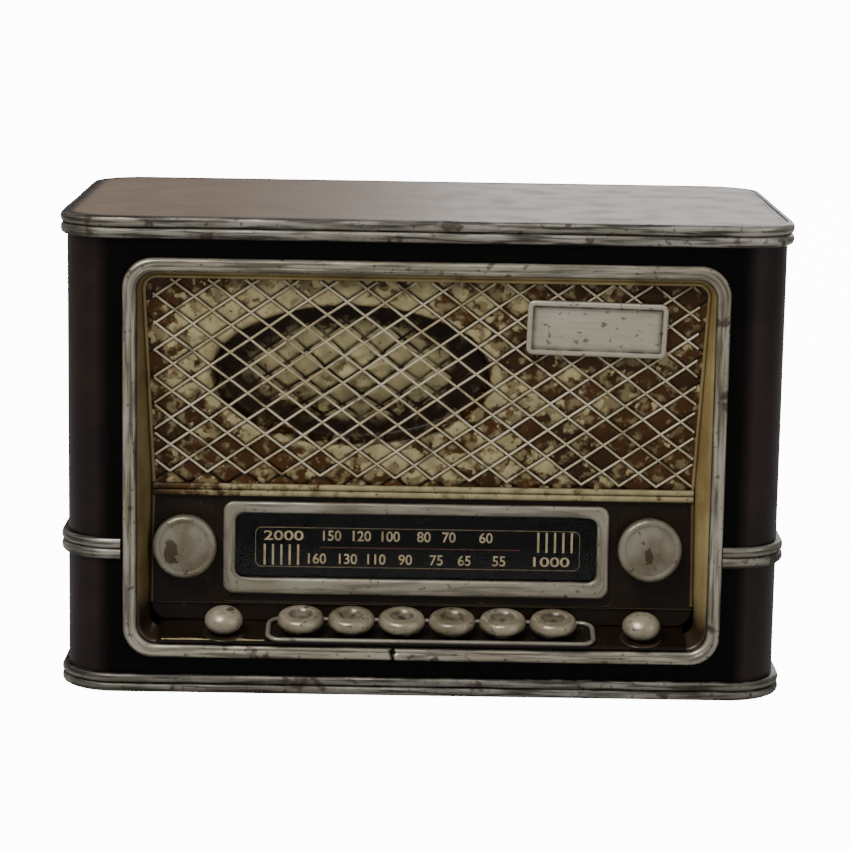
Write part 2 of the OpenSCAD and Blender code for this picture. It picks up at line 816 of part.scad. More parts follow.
// A butterfly key: a turned hub with two flat pierced wings.
module winding_key() {
    hub_d = 7.5;
    hub_l = 12;
    wing_t = 2;
    wing_r = 7;
    wing_spread = 9.5;
    color([0.62, 0.6, 0.55]) along_y(barrel_x, winding_y, axis_z) difference() {
        union() {
            cylinder(d = hub_d, h = hub_l);
            translate([0, wing_t / 2, hub_l + 2]) rotate([90, 0, 0]) linear_extrude(wing_t) difference() {
                union() {
                    square([2 * wing_spread, 7], center = true);
                    for (side = [-1, 1]) {
                        translate([side * wing_spread, 0]) circle(wing_r);
                    }
                }
                for (side = [-1, 1]) {
                    translate([side * wing_spread, 0]) circle(3);
                }
            }
        }
        translate([0, 0, -1]) cylinder(d = arbor_d, h = 11);
    }
}

// The drum that holds the mainspring, with the great wheel round its closed rear end.
module spring_barrel() {
    drum_y = -7;
    wall = 0.9;
    color([0.78, 0.66, 0.38]) along_y(barrel_x, drum_y, axis_z) difference() {
        union() {
            cylinder(r = barrel_r, h = great_y - drum_y + gear_t);
            translate([0, 0, great_y - drum_y]) linear_extrude(gear_t)
                polygon(gear_points(great_teeth, drive_module));
        }
        translate([0, 0, -1]) cylinder(r = barrel_r - wall, h = great_y - drum_y + 0.6);
        cylinder(d = arbor_d + 2 * running_gap, h = 100, center = true);
    }
}

module barrel_cap() {
    color([0.78, 0.66, 0.38]) along_y(barrel_x, -7, axis_z) linear_extrude(1.2) difference() {
        circle(barrel_r - 0.9);
        circle(d = arbor_d + 2 * running_gap);
    }
}

module mainspring() {
    turns = 7;
    strip_t = 0.35;
    inner_r = 3;
    outer_r = barrel_r - 1.4;
    steps = 24 * turns;
    function spiral(i, grow) = let (r = inner_r + (outer_r - inner_r) * i / steps + grow, a = i * 360 / 24)
        r * [cos(a), sin(a)];
    color([0.5, 0.5, 0.54]) along_y(barrel_x, -5, axis_z) linear_extrude(24) polygon(concat(
        [for (i = [0:steps]) spiral(i, strip_t)],
        [for (i = [steps:-1:0]) spiral(i, 0)]));
}

module cylinder_arbor() {
    arbor_end = rear_bridge_y + bridge_t - front_bridge_y;
    color([0.74, 0.63, 0.38]) along_y(0, front_bridge_y, axis_z) {
        cylinder(d = cylinder_arbor_d, h = arbor_end);
        translate([0, 0, gear_y - front_bridge_y]) linear_extrude(gear_t)
            rotate(-governor_angle) polygon(gear_points(cylinder_teeth, train_module));
        translate([0, 0, great_y - front_bridge_y]) linear_extrude(gear_t)
            rotate(180 / pinion_teeth) polygon(gear_points(pinion_teeth, drive_module));
    }
}

// The brass cylinder, with a few pins on the track of each comb tooth.
module pin_cylinder() {
    pin_h = 0.5;
    pins_per_track = 3;
    pin_turn = 137.5;
    color([0.82, 0.7, 0.4]) along_y(0, cylinder_y, axis_z) difference() {
        union() {
            cylinder(r = cylinder_r, h = cylinder_l);
            for (track = [0:comb_teeth - 1], k = [0:pins_per_track - 1]) {
                rotate((track * pins_per_track + k) * pin_turn)
                    translate([cylinder_r - 0.5, 0, comb_y - cylinder_y + (track + 0.5) * comb_pitch])
                    rotate([0, 90, 0]) cylinder(d = 0.45, h = pin_h + 0.5, $fn = 16);
            }
        }
        translate([0, 0, -1]) cylinder(d = cylinder_arbor_d, h = cylinder_l + 2);
    }
}

module governor_wheel() {
    arbor_end = rear_bridge_y + bridge_t - front_bridge_y;
    color([0.74, 0.63, 0.38]) along_y(governor_x, front_bridge_y, governor_z) {
        cylinder(d = governor_arbor_d, h = arbor_end);
        translate([0, 0, gear_y - front_bridge_y - 0.3]) linear_extrude(gear_t + 0.6)
            rotate(180 - governor_angle + 180 / leaf_teeth) polygon(gear_points(leaf_teeth, train_module));
        translate([0, 0, worm_wheel_y - worm_wheel_t / 2 - front_bridge_y]) linear_extrude(worm_wheel_t)
            rotate(180) polygon(gear_points(worm_wheel_teeth, train_module));
    }
}

// A post with two arms; the fly's shaft turns in the arms.
module governor_frame() {
    post_x = worm_x - 6;
    arm_w = 5;
    arm_l = 8.5;
    color([0.74, 0.63, 0.38]) difference() {
        union() {
            translate([post_x - 1.5, worm_wheel_y - arm_w / 2, bed_top])
                cube([2.5, arm_w, governor_z + 14 - bed_top]);
            for (z = [governor_z - 9.5, governor_z + 12.5]) {
                translate([post_x - 1.5, worm_wheel_y - arm_w / 2, z]) cube([arm_l + 1.5, arm_w, 1.5]);
            }
        }
        translate([worm_x, worm_wheel_y, bed_top + 5]) cylinder(d = 1.5 + 2 * pivot_gap, h = 60);
    }
}

// The governor's worm and its two air vanes, on one vertical shaft.
module fly() {
    worm_l = worm_turns * worm_pitch;
    vane_r = 4.4;
    vane_h = 4;
    thread_half_angle = 42;
    color([0.7, 0.7, 0.72]) translate([worm_x, worm_wheel_y, 0]) {
        translate([0, 0, governor_z - 9.5]) cylinder(d = 1.5, h = 23.5);
        translate([0, 0, governor_z - worm_l / 2]) cylinder(r = worm_core_r, h = worm_l);
        translate([0, 0, governor_z - worm_l / 2])
            linear_extrude(worm_l, twist = -360 * worm_turns, slices = 16 * worm_turns, $fn = 10)
            polygon(concat([[0, 0]], arc_points([0, 0], worm_r, -thread_half_angle, thread_half_angle, 6)));
        translate([-vane_r, -0.4, governor_z + 7]) cube([2 * vane_r, 0.8, vane_h]);
    }
}

cabinet_shell();
lid_panel();
lid_rim();
base_plate();
base_rim();
waist_band();
front_frame();
reveal_liner();
grille_panel();
speaker_pan();
grille_mesh();
name_plate();
crossbar();
dial_panel();
dial_bezel();
dial_scale();
dial_glass();
key_shelf();
key_tray();
knob_bushes();
knob_nuts();
large_knob(-1);  // left_knob
large_knob(1);  // right_knob
ball_knob_collars();
ball_knob(-1);  // left_ball_knob
ball_knob(1);  // right_ball_knob
for (i = [1:key_count]) {
    piano_key(i);
    key_spring(i);
}
back_cover();
back_cover_screws();
bedplate();
movement_screws();
front_bridge();
rear_bridge();
bridge_screws();
comb();
comb_screws();
governor_frame();
click();
winding_arbor();
ratchet_wheel();
winding_key();
spring_barrel();
barrel_cap();
mainspring();
cylinder_arbor();
pin_cylinder();
governor_wheel();
fly();
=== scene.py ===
import bmesh
import bpy
import numpy as np
from mathutils import Matrix, Vector


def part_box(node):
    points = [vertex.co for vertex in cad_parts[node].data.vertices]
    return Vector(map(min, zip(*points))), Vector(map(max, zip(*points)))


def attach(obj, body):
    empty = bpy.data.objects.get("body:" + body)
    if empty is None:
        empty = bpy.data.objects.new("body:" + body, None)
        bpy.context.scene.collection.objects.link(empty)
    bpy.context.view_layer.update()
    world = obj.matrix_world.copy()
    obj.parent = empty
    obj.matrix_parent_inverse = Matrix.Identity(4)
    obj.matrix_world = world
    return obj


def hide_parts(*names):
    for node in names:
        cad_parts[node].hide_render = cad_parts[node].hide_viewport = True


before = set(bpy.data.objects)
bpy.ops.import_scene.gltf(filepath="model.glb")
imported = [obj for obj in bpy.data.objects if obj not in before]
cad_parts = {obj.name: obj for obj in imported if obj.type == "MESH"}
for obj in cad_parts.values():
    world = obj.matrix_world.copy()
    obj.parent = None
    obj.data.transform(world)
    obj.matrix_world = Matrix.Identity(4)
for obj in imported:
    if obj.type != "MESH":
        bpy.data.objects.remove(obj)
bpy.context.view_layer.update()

# ---- Table, light and camera ----
# The box stands on a plain white table under a large soft light from the upper left, with
# weaker ones from the right and from behind. The camera looks slightly down at the fascia.

mm = 0.001


def node(tree, kind, inputs=None, **settings):
    """Adds a shader node; inputs maps a socket's name or number to a value or to another socket."""
    made = tree.nodes.new(kind)
    for name, value in settings.items():
        setattr(made, name, value)
    for key, value in (inputs or {}).items():
        if isinstance(value, bpy.types.NodeSocket):
            tree.links.new(value, made.inputs[key])
        else:
            made.inputs[key].default_value = value
    return made


def new_material(name, **sockets):
    """A material with a Principled surface; sockets are set on it by name, with _ for a space."""
    made = bpy.data.materials.new(name)
    made.use_nodes = True
    surface = made.node_tree.nodes["Principled BSDF"]
    for key, value in sockets.items():
        surface.inputs[key.replace("_", " ")].default_value = value
    return made, made.node_tree, surface


def soft_light(name, place, aim, size, power):
    """A square area light at place that points at aim."""
    lamp = bpy.data.lights.new(name, "AREA")
    lamp.size = size
    lamp.energy = power
    holder = bpy.data.objects.new(name, lamp)
    bpy.context.scene.collection.objects.link(holder)
    holder.location = place
    holder.rotation_euler = (Vector(place) - Vector(aim)).to_track_quat("Z", "Y").to_euler()


def glow_by_ray(tree, for_light, for_camera):
    """A brightness that differs between the light's own paths and what the camera sees."""
    seen = node(tree, "ShaderNodeLightPath").outputs["Is Camera Ray"]
    limits = {"Value": seen, "To Min": for_light, "To Max": for_camera}
    return node(tree, "ShaderNodeMapRange", limits).outputs[0]


table_half = 6.0
seen_table = 13.0
seen_room = 14.0
room_light = 0.22
table_mesh = bpy.data.meshes.new("table_top")
table_corners = [(x * table_half, y * table_half, 0) for x, y in [(-1, -1), (1, -1), (1, 1), (-1, 1)]]
table_mesh.from_pydata(table_corners, [], [(0, 1, 2, 3)])
table_top = bpy.data.objects.new("table_top", table_mesh)
white_table, table_tree, table_surface = new_material(
    "white_table", Base_Color=(0.45, 0.45, 0.45, 1), Roughness=0.8, Emission_Color=(1, 1, 1, 1)
)
table_tree.links.new(glow_by_ray(table_tree, 0, seen_table), table_surface.inputs["Emission Strength"])
table_mesh.materials.append(white_table)
bpy.context.scene.collection.objects.link(table_top)

room = bpy.data.worlds.new("studio")
room.use_nodes = True
room_walls = room.node_tree.nodes["Background"]
room_walls.inputs["Color"].default_value = (1.0, 0.99, 0.98, 1)
room_glow = glow_by_ray(room.node_tree, room_light, seen_room)
room.node_tree.links.new(room_glow, room_walls.inputs["Strength"])
bpy.context.scene.world = room
middle = (0, 0, 55 * mm)
soft_light("key_light", (-0.45, -0.75, 1.05), middle, 0.5, 13)
soft_light("fill_light", (0.9, -0.7, 0.45), middle, 0.9, 2.2)
soft_light("back_light", (0.35, 1.0, 0.55), middle, 0.8, 5)

camera_data = bpy.data.cameras.new("camera")
camera_data.lens = 123.35
camera_data.sensor_width = 36
camera = bpy.data.objects.new("camera", camera_data)
bpy.context.scene.collection.objects.link(camera)
bpy.context.scene.camera = camera
camera_place = Vector((-3.4, -706.0, 183.8)) * mm
camera_yaw = np.radians(-0.30)
camera_pitch = np.radians(90 - 10.27)
camera_roll = np.radians(0.975)
camera.matrix_world = (
    Matrix.Translation(camera_place)
    @ Matrix.Rotation(camera_yaw, 4, "Z")
    @ Matrix.Rotation(camera_pitch, 4, "X")
    @ Matrix.Rotation(camera_roll, 4, "Z")
)

# ---- Cabinet: shell, lid, base and back cover ----
# A wrapper of thin tin is rolled round the base and the lid and lacquered chocolate brown.
# The lacquer is satin, rubbed and a little blotchy. It is painted almost black beside the frame,
# as painted shade, and darker along the lid's edge, as soil and painted shade; the lid's top is
# painted much lighter, as painted light.


def patches_group():
    """Blotches: noise on object coordinates, cut between Low and High; Long stretches them along X."""
    tree = bpy.data.node_groups.new("worn_patches", "ShaderNodeTree")
    values = [("Scale", 60), ("Detail", 6), ("Low", 0.5), ("High", 0.6), ("Long", 1), ("Seed", 0)]
    for label, value in values:
        tree.interface.new_socket(label, in_out="INPUT", socket_type="NodeSocketFloat").default_value = value
    tree.interface.new_socket("Mask", in_out="OUTPUT", socket_type="NodeSocketFloat")
    given = node(tree, "NodeGroupInput").outputs
    place = node(tree, "ShaderNodeTexCoord").outputs["Object"]
    shrink = node(tree, "ShaderNodeMath", {0: 1.0, 1: given["Long"]}, operation="DIVIDE").outputs[0]
    size = node(tree, "ShaderNodeCombineXYZ", {0: shrink, 1: 1.0, 2: 1.0}).outputs[0]
    scaled = node(tree, "ShaderNodeVectorMath", {0: place, 1: size}, operation="MULTIPLY").outputs[0]
    grain = {"Vector": scaled, "Scale": given["Scale"], "Detail": given["Detail"], "W": given["Seed"]}
    noise = node(tree, "ShaderNodeTexNoise", grain, noise_dimensions="4D").outputs[0]
    limits = {"Value": noise, "From Min": given["Low"], "From Max": given["High"]}
    cut = node(tree, "ShaderNodeMapRange", limits, interpolation_type="SMOOTHSTEP")
    node(tree, "NodeGroupOutput", {"Mask": cut.outputs["Result"]})
    return tree


worn_patches = patches_group()


def patches(tree, scale, low, high, detail=6.0, long=1.0, seed=0.0):
    """Places the blotches group with its own values and returns its mask."""
    values = {"Scale": scale, "Low": low, "High": high, "Detail": detail, "Long": long, "Seed": seed}
    return node(tree, "ShaderNodeGroup", values, node_tree=worn_patches).outputs["Mask"]


def mix(tree, factor, first, second):
    """Blends two colours, each given as three numbers or as a socket."""
    made = node(tree, "ShaderNodeMix", {0: factor}, data_type="RGBA")
    for slot_number, value in ((6, first), (7, second)):
        if isinstance(value, bpy.types.NodeSocket):
            tree.links.new(value, made.inputs[slot_number])
        else:
            made.inputs[slot_number].default_value = (*value, 1)
    return made.outputs[2]


def sums(tree, operation, first, second=0.0, clamp=True):
    """One sum of masks or numbers; clamp keeps the answer between 0 and 1."""
    values = {0: first, 1: second}
    return node(tree, "ShaderNodeMath", values, operation=operation, use_clamp=clamp).outputs[0]


def stain(tree, colour, mask, strength, over):
    """Covers a colour with another one, over, where a mask is; strength is how far, from 0 to 1."""
    return mix(tree, sums(tree, "MULTIPLY", mask, strength), colour, over)


def spread(tree, value, low, high):
    """Carries a 0 to 1 mask to the range from low to high."""
    return node(tree, "ShaderNodeMapRange", {"Value": value, "To Min": low, "To Max": high}).outputs[0]


def fade(tree, value, start, end):
    """A mask that goes from 0 where the value is start to 1 where it is end."""
    return node(tree, "ShaderNodeMapRange", {"Value": value, "From Min": start, "From Max": end}).outputs[0]


def coat(tree, surface, colour, rough):
    """Gives a surface its colour and its roughness."""
    tree.links.new(colour, surface.inputs["Base Color"])
    tree.links.new(rough, surface.inputs["Roughness"])


def uneven(tree, surface, height, strength, distance):
    """Bumps the surface by a height mask; distance is the height's real size in metres."""
    values = {"Height": height, "Strength": strength, "Distance": distance}
    tree.links.new(node(tree, "ShaderNodeBump", values).outputs[0], surface.inputs["Normal"])


def mark(tree, name):
    """Reads a piece's own mark, a number from 0 to 1 at each point."""
    return node(tree, "ShaderNodeAttribute", attribute_name=name).outputs["Fac"]


# A dark brown for soil together with painted shade, in creases and grooves.
soil_and_shade_brown = (0.006, 0.004, 0.003)
beside_frame_black = (0.0012, 0.0008, 0.0006)


def brown_lacquer(name, dark, light, rubbed, low_shine, high_shine, front=None):
    """Lacquer between two browns, with rubbed spots, and soil and painted shade along the mark edge.

    Where y is less than front the lacquer is painted almost black and dull, as painted shade beside the
    frame.
    """
    made, tree, surface = new_material(name, Specular_IOR_Level=0.3)
    clouds = patches(tree, 22, 0.3, 0.72, seed=1.0)
    drips = patches(tree, 90, 0.42, 0.75, seed=2.0)
    colour = stain(tree, mix(tree, clouds, dark, light), drips, 0.35, rubbed)
    flecks = patches(tree, 420, 0.69, 0.73, detail=3.0, seed=3.0)
    colour = stain(tree, colour, flecks, 0.5, rubbed)
    ragged = spread(tree, patches(tree, 160, 0.3, 0.6, seed=4.0), 0.7, 1.0)
    colour = stain(tree, colour, mark(tree, "edge"), ragged, soil_and_shade_brown)
    if front is not None:
        place = node(tree, "ShaderNodeTexCoord").outputs["Object"]
        depth = node(tree, "ShaderNodeSeparateXYZ", {0: place}).outputs["Y"]
        # Painted shade: the lacquer's front beside the frame is painted almost black, with less shine.
        beside_frame_shade = fade(tree, depth, front + 0.8 * mm, front + 0.05 * mm)
        colour = mix(tree, beside_frame_shade, colour, beside_frame_black)
        tree.links.new(spread(tree, beside_frame_shade, 0.3, 0.1), surface.inputs["Specular IOR Level"])
    coat(tree, surface, colour, spread(tree, drips, low_shine, high_shine))
    uneven(tree, surface, patches(tree, 260, 0.2, 0.8, detail=4.0, seed=5.0), 0.25, 0.12 * mm)
    return made


case_lacquer = brown_lacquer(
    "chocolate_lacquer", (0.004, 0.0016, 0.001), (0.018, 0.007, 0.004), (0.04, 0.018, 0.01), 0.36, 0.52,
    front=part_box("cabinet_shell")[0][1],
)
# Painted light: the lid's top uses the case's lacquer painted many times lighter, as the lit top.
lid_lacquer = brown_lacquer(
    "lit_lid_lacquer", (0.165, 0.106, 0.067), (0.215, 0.145, 0.095), (0.28, 0.2, 0.14), 0.4, 0.54
)


def paint_node(name, finish):
    """Gives a part of the frame its finish."""
    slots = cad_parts[name].data.materials
    slots.clear()
    slots.append(finish)


paint_node("cabinet_shell", case_lacquer)
paint_node("back_cover", case_lacquer)


def outline(width, height, radius, count):
    """Points round a rectangle with circular corners, and the directions that face outwards there.

    A walker goes round the rectangle of the corner centres and stops at each corner to turn a
    quarter; the outline is the walker's place plus the radius times the way the walker faces.
    """
    along, up, bend = width - 2 * radius, height - 2 * radius, radius * np.pi / 2
    lengths = np.array([up, bend, along, bend, up, bend, along, bend])
    starts = np.concatenate([[0], np.cumsum(lengths)[:-1]])
    walked = np.linspace(0, lengths.sum(), count, endpoint=False)
    done = np.clip((walked[:, None] - starts) / lengths, 0, 1)
    angle = done[:, 1::2].sum(axis=1) * np.pi / 2
    outward = np.stack([np.cos(angle), np.sin(angle)], axis=1)
    strides = np.array([[0, up], [-along, 0], [0, -up], [along, 0]])
    return np.array([along / 2, -up / 2]) + done[:, 0::2] @ strides + radius * outward, outward


def ripple(points, length, seed):
    """Hand-made unevenness from about -1 to 1: the mean of eight sine waves of about that length."""
    random = np.random.default_rng(seed)
    ways = random.normal(size=(8, 3))
    ways /= np.linalg.norm(ways, axis=1)[:, None]
    waves = ways * (2 * np.pi / (length * random.uniform(0.7, 1.5, 8)))[:, None]
    return np.sin(points @ waves.T + random.uniform(0, 2 * np.pi, 8)).mean(axis=-1) * 1.8


def grid_faces(rows, columns, round_rows=False, round_columns=False):
    """Four-sided faces over a grid of points numbered row by row; a round direction joins its ends."""
    row = np.arange(rows if round_rows else rows - 1)[:, None]
    column = np.arange(columns if round_columns else columns - 1)[None, :]
    next_row, next_column = (row + 1) % rows, (column + 1) % columns
    corners = [(row, column), (row, next_column), (next_row, next_column), (next_row, column)]
    return np.stack([r * columns + c for r, c in corners], axis=-1).reshape(-1, 4).tolist()


def make_piece(name, points, faces, finish, body="case", stands_for=(), marks=None):
    """Makes a mesh object from arrays, closes its seams, turns its faces out and fixes it to a body."""
    mesh = bpy.data.meshes.new(name)
    mesh.from_pydata(points.reshape(-1, 3).tolist(), [], faces)
    for label, values in (marks or {}).items():
        kind, field = ("FLOAT_VECTOR", "vector") if label == "grain" else ("FLOAT", "value")
        mesh.attributes.new(label, kind, "POINT").data.foreach_set(field, values.ravel())
    shape = bmesh.new()
    shape.from_mesh(mesh)
    bmesh.ops.remove_doubles(shape, verts=shape.verts, dist=1e-6)
    bmesh.ops.recalc_face_normals(shape, faces=shape.faces)
    shape.to_mesh(mesh)
    shape.free()
    mesh.shade_smooth()
    mesh.set_sharp_from_angle(angle=np.radians(50))
    mesh.materials.append(finish)
    piece = bpy.data.objects.new(name, mesh)
    bpy.context.scene.collection.objects.link(piece)
    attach(piece, body)
    if stands_for:
        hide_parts(*stands_for)
    return piece


def inset_stack(width, height, radius, insets, levels, count):
    """Rows of the same outline, each drawn in by an inset and set at a level: a plate's rounded edge."""
    rows = []
    for inset, level in zip(insets, levels):
        flat = outline(width - 2 * inset, height - 2 * inset, max(radius - inset, 0.2 * mm), count)[0]
        rows.append(np.column_stack([flat, np.full(count, level)]))
    return np.array(rows)


def stack_faces(rows, count):
    """Faces of a stack of closed rows, with its first and last rows filled in."""
    ends = [list(range(count)), list(range((rows - 1) * count, rows * count))]
    return grid_faces(rows, count, round_columns=True) + ends


def corners_of(node_name):
    """The lowest and highest corners of a part of the frame, as arrays."""
    return tuple(np.array(corner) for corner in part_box(node_name))


lid_low, lid_high = corners_of("lid_panel")
lid_size = lid_high - lid_low
rim_proud = lid_low[0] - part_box("lid_rim")[0][0]
body_radius = 13.5 * mm - rim_proud
lid_steps = 420
lid_insets = np.array([0, 0, 0.12, 0.5, 1.2, 2.2, 4, 8, 14, 20, 26, 32, 38, 43]) * mm
lid_drop = np.array([0.8, 0.35, 0.12, 0.02, 0, 0, 0, 0, 0, 0, 0, 0, 0, 0]) * mm
lid_points = inset_stack(lid_size[0], lid_size[1], body_radius, lid_insets, lid_high[2] - lid_drop, lid_steps)
lid_top_rows = lid_drop[:, None] < 0.3 * mm
lid_points[:, :, 2] -= (0.5 + 0.5 * ripple(lid_points, 60 * mm, 11)) * 0.12 * mm * lid_top_rows
# The mark edge darkens the lid along its rim: soil and painted shade in the crease by the bead.
lid_edge = np.exp(-((lid_insets[:, None] - 0.7 * mm) / (1.0 * mm)) ** 2) * np.ones((1, lid_steps))
make_piece(
    "lid_top", lid_points, stack_faces(len(lid_insets), lid_steps), lid_lacquer,
    stands_for=["lid_panel"], marks={"edge": lid_edge},
)

base_finish, base_tree, base_surface = new_material("dull_tinplate", Metallic=0.85)
base_clouds = patches(base_tree, 45, 0.35, 0.65, seed=6.0)
base_colour = mix(base_tree, base_clouds, (0.24, 0.23, 0.21), (0.13, 0.11, 0.09))
base_lines = patches(base_tree, 300, 0.3, 0.7, long=12, seed=7.0)
coat(base_tree, base_surface, base_colour, spread(base_tree, base_lines, 0.35, 0.55))
paint_node("base_plate", base_finish)

# ---- Silver trim: rims, waist band and front frame ----
# Rolled tin beads are brushed with silver paint. The paint has gone cloudy, soil and painted
# shade darken the grooves and the edges, and brown shows through where hands have rubbed it.


def ring_grain(length, profile, count, long=16):
    """Coordinates for brush streaks that follow a ring: a circle as long as the ring over long.

    The third coordinate is the way walked across the profile, so streaks run lengthwise and meet.
    """
    angle = np.linspace(0, 2 * np.pi, count, endpoint=False)
    across = np.concatenate([[0], np.cumsum(np.linalg.norm(np.diff(profile, axis=0), axis=1))])
    grain = np.empty((count, len(profile), 3))
    grain[:, :, 0] = (np.cos(angle) * length / (2 * np.pi * long))[:, None]
    grain[:, :, 1] = (np.sin(angle) * length / (2 * np.pi * long))[:, None]
    grain[:, :, 2] = across[None, :]
    return grain


def streaked(tree, scale, low, high, seed):
    """Streaks along a piece's own grain, as a mask from 0 to 1."""
    grain = node(tree, "ShaderNodeAttribute", attribute_name="grain").outputs["Vector"]
    values = {"Vector": grain, "Scale": scale, "Detail": 3.0, "W": seed}
    noise = node(tree, "ShaderNodeTexNoise", values, noise_dimensions="4D").outputs[0]
    limits = {"Value": noise, "From Min": low, "From Max": high}
    return node(tree, "ShaderNodeMapRange", limits, interpolation_type="SMOOTHSTEP").outputs["Result"]


def silver_paint(name, bright, dull, wear_low, seed, streaky=0.85):
    """Cloudy silver with brush streaks, brown wear above wear_low, and soil and painted shade on the mark
    groove.
    """
    made, tree, surface = new_material(name, Metallic=0.45)
    clouds = patches(tree, 55, 0.33, 0.68, seed=seed)
    streaks = streaked(tree, 1100, 0.42, 0.62, seed + 1)
    colour = mix(tree, clouds, bright, dull)
    colour = stain(tree, colour, streaks, streaky, tuple(0.22 * part for part in dull))
    worn = patches(tree, 150, wear_low, wear_low + 0.05, detail=8.0, seed=seed + 2)
    colour = stain(tree, colour, worn, 0.8, (0.05, 0.03, 0.018))
    speckle = patches(tree, 700, 0.62, 0.68, detail=2.0, seed=seed + 3)
    colour = stain(tree, colour, speckle, 0.6, (0.03, 0.022, 0.015))
    ragged = spread(tree, patches(tree, 240, 0.3, 0.65, seed=seed + 4), 0.75, 1.3)
    # Soil and painted shade: the groove mark darkens grooves, creases and faces that turn away.
    colour = stain(tree, colour, mark(tree, "groove"), ragged, soil_and_shade_brown)
    rough = sums(tree, "MAXIMUM", spread(tree, clouds, 0.32, 0.46), spread(tree, worn, 0.0, 0.62))
    coat(tree, surface, colour, rough)
    hollows = patches(tree, 190, 0.2, 0.8, seed=seed)
    dents = sums(tree, "ADD", spread(tree, streaks, 0, 0.3), spread(tree, hollows, 0, 0.7))
    uneven(tree, surface, dents, 0.5, 0.16 * mm)
    return made


trim_silver = silver_paint(
    "brushed_silver_trim", (0.46, 0.425, 0.36), (0.20, 0.178, 0.13), 0.6, 10.0, streaky=0.95
)
frame_silver = silver_paint(
    "brushed_silver_frame", (0.54, 0.495, 0.39), (0.36, 0.32, 0.225), 0.62, 15.0, streaky=0.75
)


def double_bead(proud, height, lower_part):
    """Profile of two half-round beads, as (out, up) pairs, and the painted shade and soil of each point.

    Each bead is half a superellipse: out = proud (0.35 + 0.65 cos(a)^0.7) while up rises with sin(a).
    """
    angle = np.radians(np.linspace(-90, 90, 11))
    bulge = np.cos(angle).clip(0) ** 0.7
    rise = (np.sin(angle) + 1) / 2
    lower_h = height * lower_part
    out = np.concatenate([proud * (0.35 + 0.65 * bulge)] * 2 + [[0, 0]])
    up = np.concatenate([lower_h * rise, lower_h + (height - lower_h) * rise, [height, 0]])
    shade = np.concatenate([(1 - bulge) ** 1.2] * 2 + [[1, 1]])
    return np.column_stack([out, up]), shade


def bead_ring(name, node_name, lower_part, count, seed, gap=None, painted_shade=0.0):
    """A double bead round the cabinet, in the place of a plainer ring.

    The function gap says where along its path the ring is left out, and the last argument is painted shade
    all over it.
    """
    ring_low, ring_high = corners_of(node_name)
    profile, shade = double_bead(rim_proud, ring_high[2] - ring_low[2], lower_part)
    flat, outward = outline(lid_size[0], lid_size[1], body_radius, count)
    path = np.column_stack([flat, np.zeros(count)])
    wobble = (1 + ripple(path, 24 * mm, seed)) * 0.06 * mm + (1 + ripple(path, 7 * mm, seed + 1)) * 0.02 * mm
    out = np.maximum(profile[None, :, 0] - wobble[:, None] * (profile[None, :, 0] > 0), 0)
    points = np.empty((count, len(profile), 3))
    points[:, :, :2] = flat[:, None] + outward[:, None] * out[:, :, None]
    points[:, :, 2] = ring_low[2] + profile[None, :, 1]
    faces = grid_faces(count, len(profile), round_rows=True, round_columns=True)
    if gap is not None:
        rows = np.array(faces) // len(profile)
        kept = ~gap(path)[rows].any(axis=1)
        faces = [face for face, keep in zip(faces, kept) if keep]
    groove = np.clip(np.tile(shade, (count, 1)) + painted_shade, 0, 1)
    grain = ring_grain(2 * (lid_size[0] + lid_size[1]), profile, count)
    make_piece(
        name, points, faces, trim_silver, stands_for=[node_name],
        marks={"groove": groove, "grain": grain},
    )


rim_steps = 640
waist_steps = 800
bead_ring("lid_bead", "lid_rim", 0.5, rim_steps, 21)
# Painted shade: the base bead is darkened all over, for the shade low on the cabinet.
bead_ring("base_bead", "base_rim", 0.5, rim_steps, 22, painted_shade=0.25)

frame_low, frame_high = corners_of("front_frame")
frame_size = frame_high - frame_low
frame_front = frame_low[1]
frame_centre = np.array([0, frame_high[1], (frame_low[2] + frame_high[2]) / 2])
cover_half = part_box("back_cover")[1][0]


def behind_frame_or_cover(path):
    """True where the waist band is broken: behind the front frame and behind the back cover."""
    before_frame = (path[:, 1] < 0) & (np.abs(path[:, 0]) < frame_high[0])
    over_cover = (path[:, 1] > 0) & (np.abs(path[:, 0]) < cover_half)
    return before_frame | over_cover


bead_ring("waist_bead", "waist_band", 0.5, waist_steps, 23, gap=behind_frame_or_cover)


def tilted(points, origin, degrees=90):
    """Turns a flat layout about X and moves it: at 90 degrees its y points up and its z forward."""
    sine, cosine = np.sin(np.radians(degrees)), np.cos(np.radians(degrees))
    turn = np.array([[1, 0, 0], [0, cosine, -sine], [0, sine, cosine]])
    return points @ turn.T + origin


def loft_ring(outer, inner, profile, count, inner_shift=(0, 0)):
    """A flat ring between two outlines: profile pairs are (part of the way in, height)."""
    outside, inside = outline(*outer, count)[0], outline(*inner, count)[0] + inner_shift
    part = profile[None, :, 0, None]
    points = np.empty((count, len(profile), 3))
    points[:, :, :2] = outside[:, None] * (1 - part) + inside[:, None] * part
    points[:, :, 2] = profile[None, :, 1]
    return points


